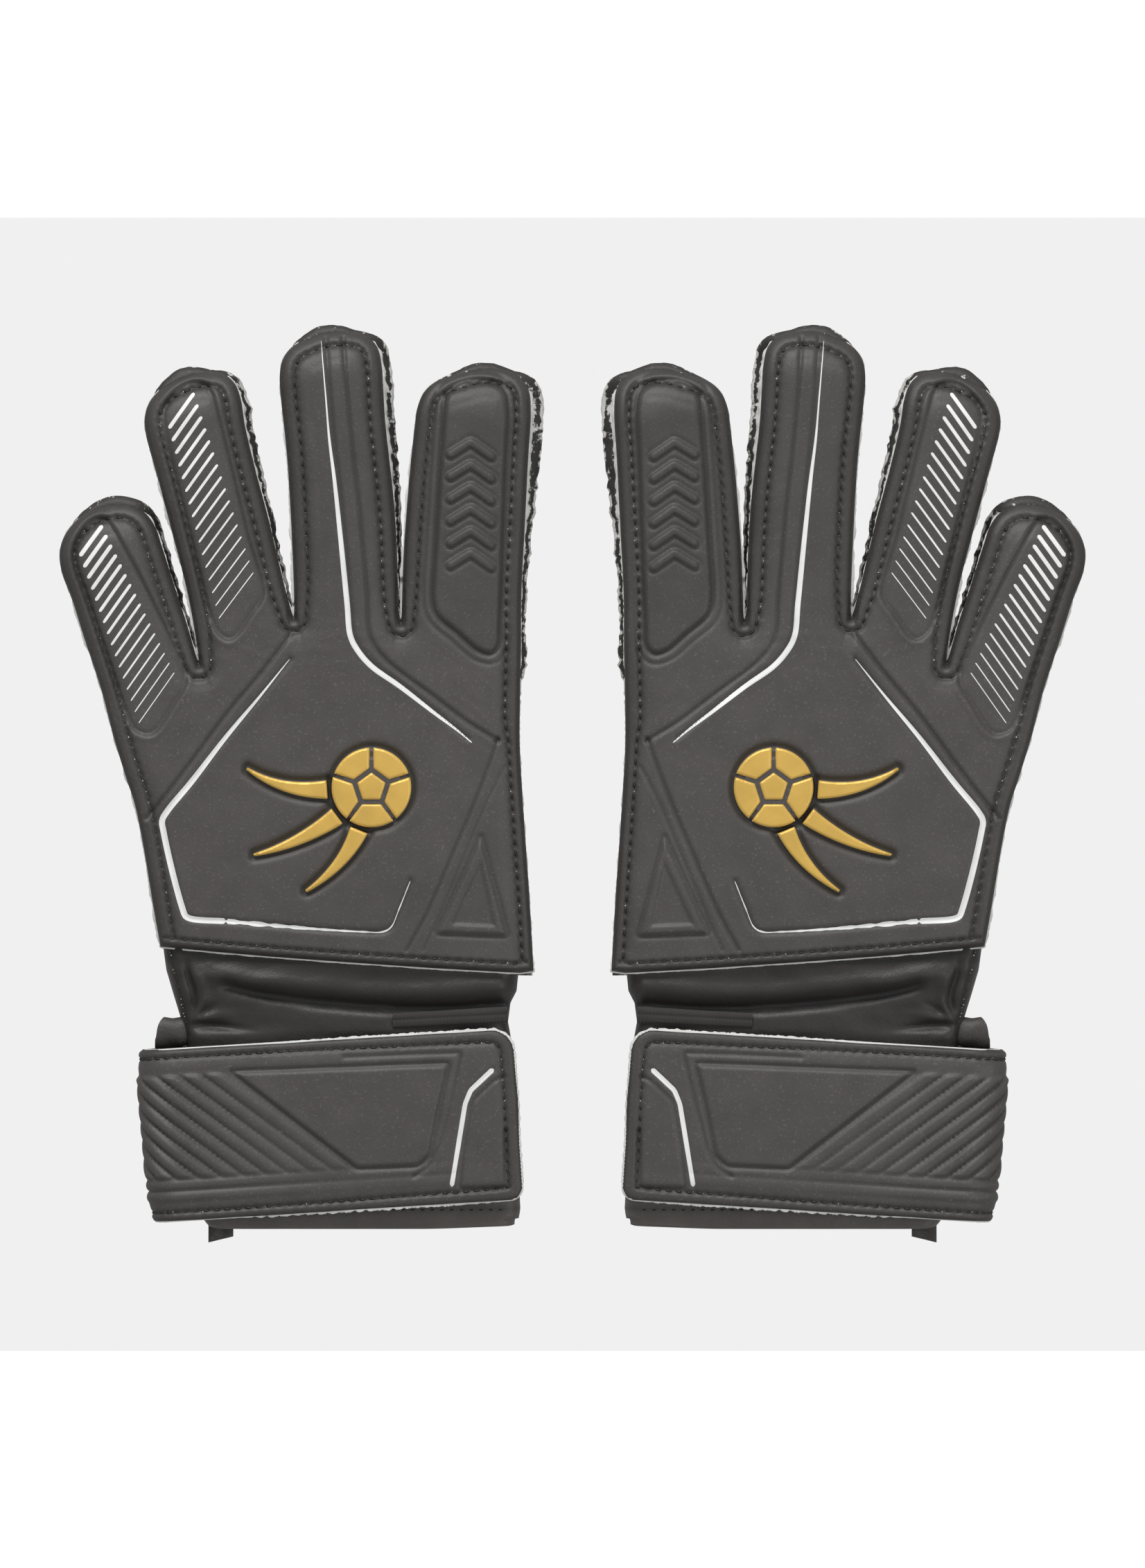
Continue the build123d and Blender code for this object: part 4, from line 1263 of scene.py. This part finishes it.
def cuff_top(p):
    """Height of the cuff's upper skin, and how dark each point is: painted shade in its creases, under the
    hand's edge and under the strap, the dark hem and seam, and a darker tone all over but for two strips left
    lighter as painted light.
    """
    y = p[:, 1]
    z = 13.1 + 3.9 * smooth(y, -71, -50) - 0.6 * smooth(-y, 100, 129)
    free = 1 - smooth(-y, 71, 76)
    h = 0.45 * wobble2(p * [0.45, 1.3], 61, 13) + 0.16 * wobble2(p * [0.6, 1.4], 62, 5)
    for path, height, width in ((RIDGE, 1.6, 2.7), (VALLEY, -2.2, 1.9), (SECOND, 0.35, 3.2), (FOLD, 1.4, 1.6),
                                (CREASE, -1.6, 1.0), *PUCKERS, (SEAM_LINE, -0.8, 0.6)):
        k = close_to(p, path, 3 * width)
        if len(k):
            d, at, _ = nearest(p[k], path)
            fade = smooth(at, -1, 4) * smooth(len(path) - 1 - at, -1, 12 if width < 1.6 else 3)
            h[k] += height * bell(d, width) * fade
    hemline = bell(y - CUFF_HEM, 0.6)
    z = z + free * h + (1 - free) * 0.12 * wobble2(p, 63, 9) - 0.45 * hemline
    # painted shade in the creases and valleys
    dark = np.clip(-h * free * 0.45, 0, 0.6)
    k = close_to(p, SEAM_LINE, 3)
    if len(k):
        dark[k] = np.maximum(dark[k], 0.7 * bell(nearest(p[k], SEAM_LINE)[0], 0.7))
    # the hem and seam are dark; painted shade under the hand's edge and under the strap
    dark = darkest(dark, 0.55 * hemline, 0.6 * smooth(y, -53.5, -50.5),
                   0.35 * smooth(-y, 70.5, 74) * (1 - smooth(-y, 108, 118)))
    # the skin is darkened all over but for the strip below the strap and a strip past the seam, which keep
    # the lighter colour as painted light
    past_seam = p[:, 0] - np.interp(-y, -SEAM_LINE[:, 1], SEAM_LINE[:, 0])
    flat_strip = smooth(past_seam, 0.4, 1.2) * smooth(y, -76, -70)
    light = np.maximum(smooth(-y, 116, 122), 0.3 * flat_strip)
    dark = dark + 0.74 * (1 - light) * (1 - dark)
    under_hand = np.interp(y, [-60, -52, -47], [19, 17.3, 16.9])
    return np.minimum(z, under_hand), dark


ACROSS = 131               # points across the cuff


def tube(ys, shrink, low, drop):
    """Rings of the cuff's tube from one side over the top to the other and back under."""
    rings, marks = [], []
    for y in ys:
        left, right = cuff_edges(y)
        left, right = left + shrink, right - shrink
        x = np.linspace(left, right, ACROSS)
        at = np.full(ACROSS, y)
        top, dark = cuff_top(columns(x, at))
        top = top - drop
        bottom = low + 0.15 * wobble(x + y, 65, 0.25)
        mid = (top + bottom) / 2
        bow = rounded(np.minimum(x - left, right - x), CUFF_ROUND)
        under = columns(x, at, mid - (mid - bottom) * bow)[::-1]
        rings.append(np.vstack([columns(x, at, mid + (top - mid) * bow), under[1:-1]]))
        marks.append(np.concatenate([dark, np.zeros(ACROSS - 2)]))
    return np.stack(rings), np.stack(marks)


def bowed(rings):
    """How far the cuff's opening is drawn in at each point of its rings."""
    return 0.9 * smooth(np.abs(rings[:, :, 0] - 70), 25, 58)


outer, marks = tube([*np.arange(-47.5, -78, -0.6), *np.arange(-78, -127, -1.5), -127, -127.9, -128.6],
                    0.0, CUFF_FLOOR, 0.0)
lip, lip_marks = tube([-128.95], 0.9, 4.7, 0.9)
body = np.concatenate([outer, lip])
body[-4:, :, 1] += bowed(body[-4:])
marks = np.concatenate([marks, lip_marks]).ravel()
tris = strips(body.shape[:2], closed=True)
upper = (tris % body.shape[1]).max(1) < ACROSS
pv, pt, pm = part_of(body.reshape(-1, 3), tris[:, ::-1], upper, marks)
make("cuff_back", pv, pt, CUFF_SKIN, stands_for=("cuff_back", "cuff_sides"), soft=0.3, marks={"groove": pm})
pv, pt = part_of(body.reshape(-1, 3), tris[:, ::-1], ~upper)
make("cuff_palm", pv, pt, CUFF_CLOTH, stands_for=("cuff_palm",), soft=0.3)
within = np.concatenate([lip, tube([-127.6, *np.arange(-126, -57, 3.0)], 1.3, 5.2, 1.4)[0]])
within[:2, :, 1] += bowed(within[:2])
make("cuff_lining", within.reshape(-1, 3), strips(within.shape[:2], closed=True)[:, ::-1], LINING,
     cloth=("stretched", 70.0, None, 1, ()))


def on_cuff(p, lift=0.0):
    z = cuff_top(p)[0]
    left, right = cuff_edges(p[:, 1])
    mid = (z + CUFF_FLOOR) / 2
    bow = rounded(np.minimum(p[:, 0] - left, right - p[:, 0]), CUFF_ROUND)
    return columns(p, mid + (z - mid) * bow + lift)


v1, f1, spots = stitch_mesh(SEAM_LINE, on_cuff, pitch=2.6, length=1.5, radius=0.24, seed=8)
v2, f2, _ = stitch_mesh([(104, CUFF_HEM), (18, CUFF_HEM)], on_cuff, pitch=2.8, length=2.0, radius=0.3, seed=9)
make("cuff_stitches", *join([(v1, f1), (v2, f2)]), THREAD)
make("cuff_crumbs", *specks(np.vstack([spots, spots + [0.4, 0.9, 0.1]]), 10), FOAM)

# ribbed elastic tape on the cuff's slope
TAPE_SHAPE = (15, 190)     # rows of points across it, and points in each
tx, ty = np.meshgrid(np.linspace(18.9, 52, TAPE_SHAPE[1]), np.linspace(0, 1, TAPE_SHAPE[0]))
tx, ty = tx.ravel(), ty.ravel()
y = np.interp(tx, [18.9, 52], [-64.4, -66.4]) * (1 - ty) + np.interp(tx, [18.9, 52], [-69.2, -70.8]) * ty
tape = columns(tx, y)
base = np.interp(y, [-71, -64], [13.35, 14.95]) * 0.6 + on_cuff(tape)[:, 2] * 0.4
ribs = 0.16 * np.cos(2 * math.pi * tx / 1.05) - 0.3 * bell(ty - 0.45, 0.09)
edge_round = np.sqrt(np.clip(1 - (2 * ty - 1) ** 6, 0, 1))
top = base + (0.75 + ribs) * edge_round + 0.15 * wobble2(tape, 66, 9)
make("wrist_tape", np.vstack([columns(tape, top), columns(tape, base - 0.6)]),
     sheet_faces(strips(TAPE_SHAPE), len(tape))[:, ::-1], TAPE, stands_for=("wrist_tape",), flat_angle=50)

# rolled loop at the outer edge, open at its outer end
turns = np.linspace(0, 2 * math.pi * 1.28, 64)
rows = []
for thickness in (0, 0.7):
    for x in np.linspace(110.6, 120.2, 30):
        k = (x - 110.6) / 9.6
        a = turns + 2.2
        r = (1 + 0.055 * turns) * (2.75 + 0.2 * k) - thickness
        r = r * (1 + 0.04 * np.sin(3 * turns + x * 0.9)) * (0.86 + 0.14 * smooth(k, 0, 0.35))
        slant = x + (0.7 * np.cos(turns) + 0.3 * np.sin(2 * turns) - 1.7 * np.clip(np.cos(a), 0, 1) ** 3) * k
        rows.append(columns(slant, -71.7 - 0.3 * k + 1.18 * r * np.cos(a), 8.5 + 0.78 * r * np.sin(a)))
half, m = len(rows) // 2, len(turns)
face = strips((half, m))
tris = [face, face[:, ::-1] + half * m]
for a in (0, half - 1):
    j = a * m + np.arange(m - 1)
    q = columns(j, j + 1, j + half * m + 1, j + half * m)
    q = q if a else q[:, ::-1]
    tris += [q[:, [0, 1, 2]], q[:, [0, 2, 3]]]
# its inner layer is painted dark as shade inside the roll
make("side_loop", np.vstack(rows), np.vstack(tris), LOOP_SKIN, soft=0.2,
     marks={"groove": np.repeat([0, 0.8], half * m)}, flat_angle=60)

# pull tab: a folded strip of cloth
TAB_SHAPE = (14, 26)       # points across it, and along it
along_it = np.linspace(0, 1, TAB_SHAPE[1])
profile_y = np.interp(along_it, [0, 0.47, 0.5, 0.53, 1], [-119, -132.3, -133.1, -132.3, -119])
profile_z = np.interp(along_it, [0, 0.46, 0.5, 0.54, 1], [6.9, 7.0, 6.4, 5.7, 5.6])
tab_x = 7.2 * np.linspace(0, 1, TAB_SHAPE[0])[:, None] + 0 * along_it
tab_y = profile_y - (0.25 * tab_x - 1.2) * (np.abs(profile_y + 119) / 14)
tab_x = tab_x + 98.5
tab_z = profile_z + 0.22 * np.sin(tab_x * 1.3 + tab_y * 0.4)
make("pull_tab", columns(tab_x.ravel(), tab_y.ravel(), tab_z.ravel()), strips(TAB_SHAPE), TAB,
     stands_for=("pull_tab",))

# ================================ thumb, folded under the palm ================================
THUMB_FREE = curve([(15.5, 5), (22, 9.5), (34, 15.5), (48, 21.4), (58, 23.2), (65, 21.5), (69.3, 15.5),
                    (70.6, 8), (68.8, 1.5), (64.2, -2.8), (50, -13), (33, -28), (22, -38.5), (15.5, -42)],
                   0.8)
THUMB_BEND = ("thumb", (15.0, -18.0, 4.0), (31.0, -18.0, 4.0))
p, t = lattice(loop(THUMB_FREE, 0.8), 0.85)
edge, at, _ = nearest(p, THUMB_FREE)
edge_roll = 1 - rounded(edge, 2.6)
cut = bell(edge - SEAM, 0.7) * pulled(at)
panel = bell(edge - 8.2, 0.8) * smooth(p[:, 0], 24, 30)
z = 0.15 + 2.2 * edge_roll + 0.7 * cut + 0.45 * panel + 0.15 * (1 - smooth(edge, 4.6, 8))
z += 0.1 * (1 + wobble2(p, 71, 14)) + 1.2 * (1 - smooth(p[:, 0], 15, 21))
# painted shade in the seam's groove and the pressed panel line, with the dark seam
make("thumb_back", columns(p, z), t[:, ::-1], LEATHER, bend=THUMB_BEND, stands_for=("thumb_back",), soft=0.6,
     marks={"groove": np.clip(0.8 * cut + 0.5 * panel, 0, 0.85)})


def under_thumb(q, lift=0.0):
    return columns(q, 0.15 + 2.2 * (1 - rounded(nearest(q, THUMB_FREE)[0], 2.6)) + 0.5 - lift)


inward = outward(THUMB_FREE)
inward *= np.sign(((THUMB_FREE.mean(0) - THUMB_FREE) * inward).sum(1).mean())
path = THUMB_FREE + inward * SEAM
path = path[(nearest(path, THUMB_FREE)[0] > 4.0) & (path[:, 0] > 17)]
make("thumb_stitches", *stitch_mesh(path, under_thumb, radius=0.36, seed=12)[:2], THREAD, bend=THUMB_BEND)
make("thumb_palm", columns(p, 7.5 - 2.0 * edge_roll + 0.1 * wobble2(p, 72, 12)), t, LATEX, bend=THUMB_BEND,
     stands_for=("thumb_palm",), soft=0.6,
     marks={"worn": 0.1 + 0.45 * (1 - smooth(edge, 0.5, 4)), "groove": np.full(len(p), 0.6)})
WALL = ((0.5, 2.0), (0.05, 2.5), (-0.35, 3.2), (-0.45, 3.9), (-0.35, 4.6), (0.05, 5.3), (0.5, 5.8))
wall_rows = [columns(THUMB_FREE + inward * o, np.full(len(THUMB_FREE), z)) for o, z in WALL]
make("thumb_gusset", np.vstack(wall_rows), strips((len(WALL), len(THUMB_FREE)))[:, ::-1], GUSSET,
     bend=THUMB_BEND, stands_for=("thumb_gusset",))

# a strip of the lining closes the thumb's root
root_y = np.linspace(-41.5, 4.8, 40)
root = [columns(np.full(40, 15.5 - 0.5 * math.sin(math.pi * k)), root_y, np.full(40, 1.3 + 6.2 * k))
        for k in np.linspace(0, 1, 7)]
make("thumb_root", np.vstack(root), strips((7, 40)), LINING)

# ================================ lining inside the hand ================================
ring_in = inset_outline(ring, 4.6)
ring_in = ring_in[nearest(ring_in, OUTLINE, closed=True)[0] > 4.2]
ring_in = loop(ring_in, RING_STEP)
hand_line = ring_in[(ring_in[:, 1] < 30) & (ring_in[:, 1] > -42)]
p, t = lattice(hand_line, 2.0)
v = columns(p, 17.3 + 0.12 * wobble2(p, 75, 12))
wide, tall = np.ptp(hand_line, axis=0)
make("hand_lining", v, t[:, ::-1], LINING, stands_for=("hand_lining",),
     cloth=("laid", wide, tall, 1, ("hand_back",)))

# ================================ camera, light and stage ================================
camera = bpy.data.cameras.new("camera")
camera.lens = 36 * 2.18 / 0.4526
camera.clip_end = 20
camera_object = bpy.data.objects.new("camera", camera)
camera_object.location = (0, 0, 2.2)
bpy.context.scene.collection.objects.link(camera_object)
bpy.context.scene.camera = camera_object


def card(name, x, y, z, level):
    mesh = bpy.data.meshes.new(name)
    mesh.from_pydata([(x[0], y[0], z), (x[1], y[0], z), (x[1], y[1], z), (x[0], y[1], z)], [], [(0, 1, 2, 3)])
    m = bpy.data.materials.new(name)
    m.use_nodes = True
    m.node_tree.nodes.clear()
    glow = m.node_tree.nodes.new("ShaderNodeEmission")
    glow.inputs["Color"].default_value = (level, level, level, 1)
    out = m.node_tree.nodes.new("ShaderNodeOutputMaterial")
    m.node_tree.links.new(glow.outputs[0], out.inputs[0])
    mesh.materials.append(m)
    o = bpy.data.objects.new(name, mesh)
    bpy.context.scene.collection.objects.link(o)
    o.visible_diffuse = o.visible_glossy = False
    return o


card("stage_grey", (-0.17, 0.17), (-0.1652, 0.165), -0.0006, 0.871)
card("stage_white", (-3, 3), (-3, 3), -0.0012, 1.02)


def area_light(name, where, towards, size, power):
    light = bpy.data.lights.new(name, "AREA")
    light.shape = "RECTANGLE"
    light.size, light.size_y = size
    light.energy = power
    o = bpy.data.objects.new(name, light)
    o.location = where
    o.rotation_euler = (Vector(towards) - Vector(where)).to_track_quat("-Z", "Y").to_euler()
    bpy.context.scene.collection.objects.link(o)


area_light("key", (-0.25, 1.25, 0.95), (0, 0, 0), (1.2, 0.5), 18)
area_light("fill", (0.9, -0.3, 1.0), (0, 0, 0), (0.8, 0.8), 3.0)
world = bpy.data.worlds.new("world")
world.use_nodes = True
world.node_tree.nodes["Background"].inputs["Color"].default_value = (0.9, 0.9, 0.9, 1)
world.node_tree.nodes["Background"].inputs["Strength"].default_value = 0.42
bpy.context.scene.world = world
bpy.context.scene.view_settings.view_transform = "Standard"
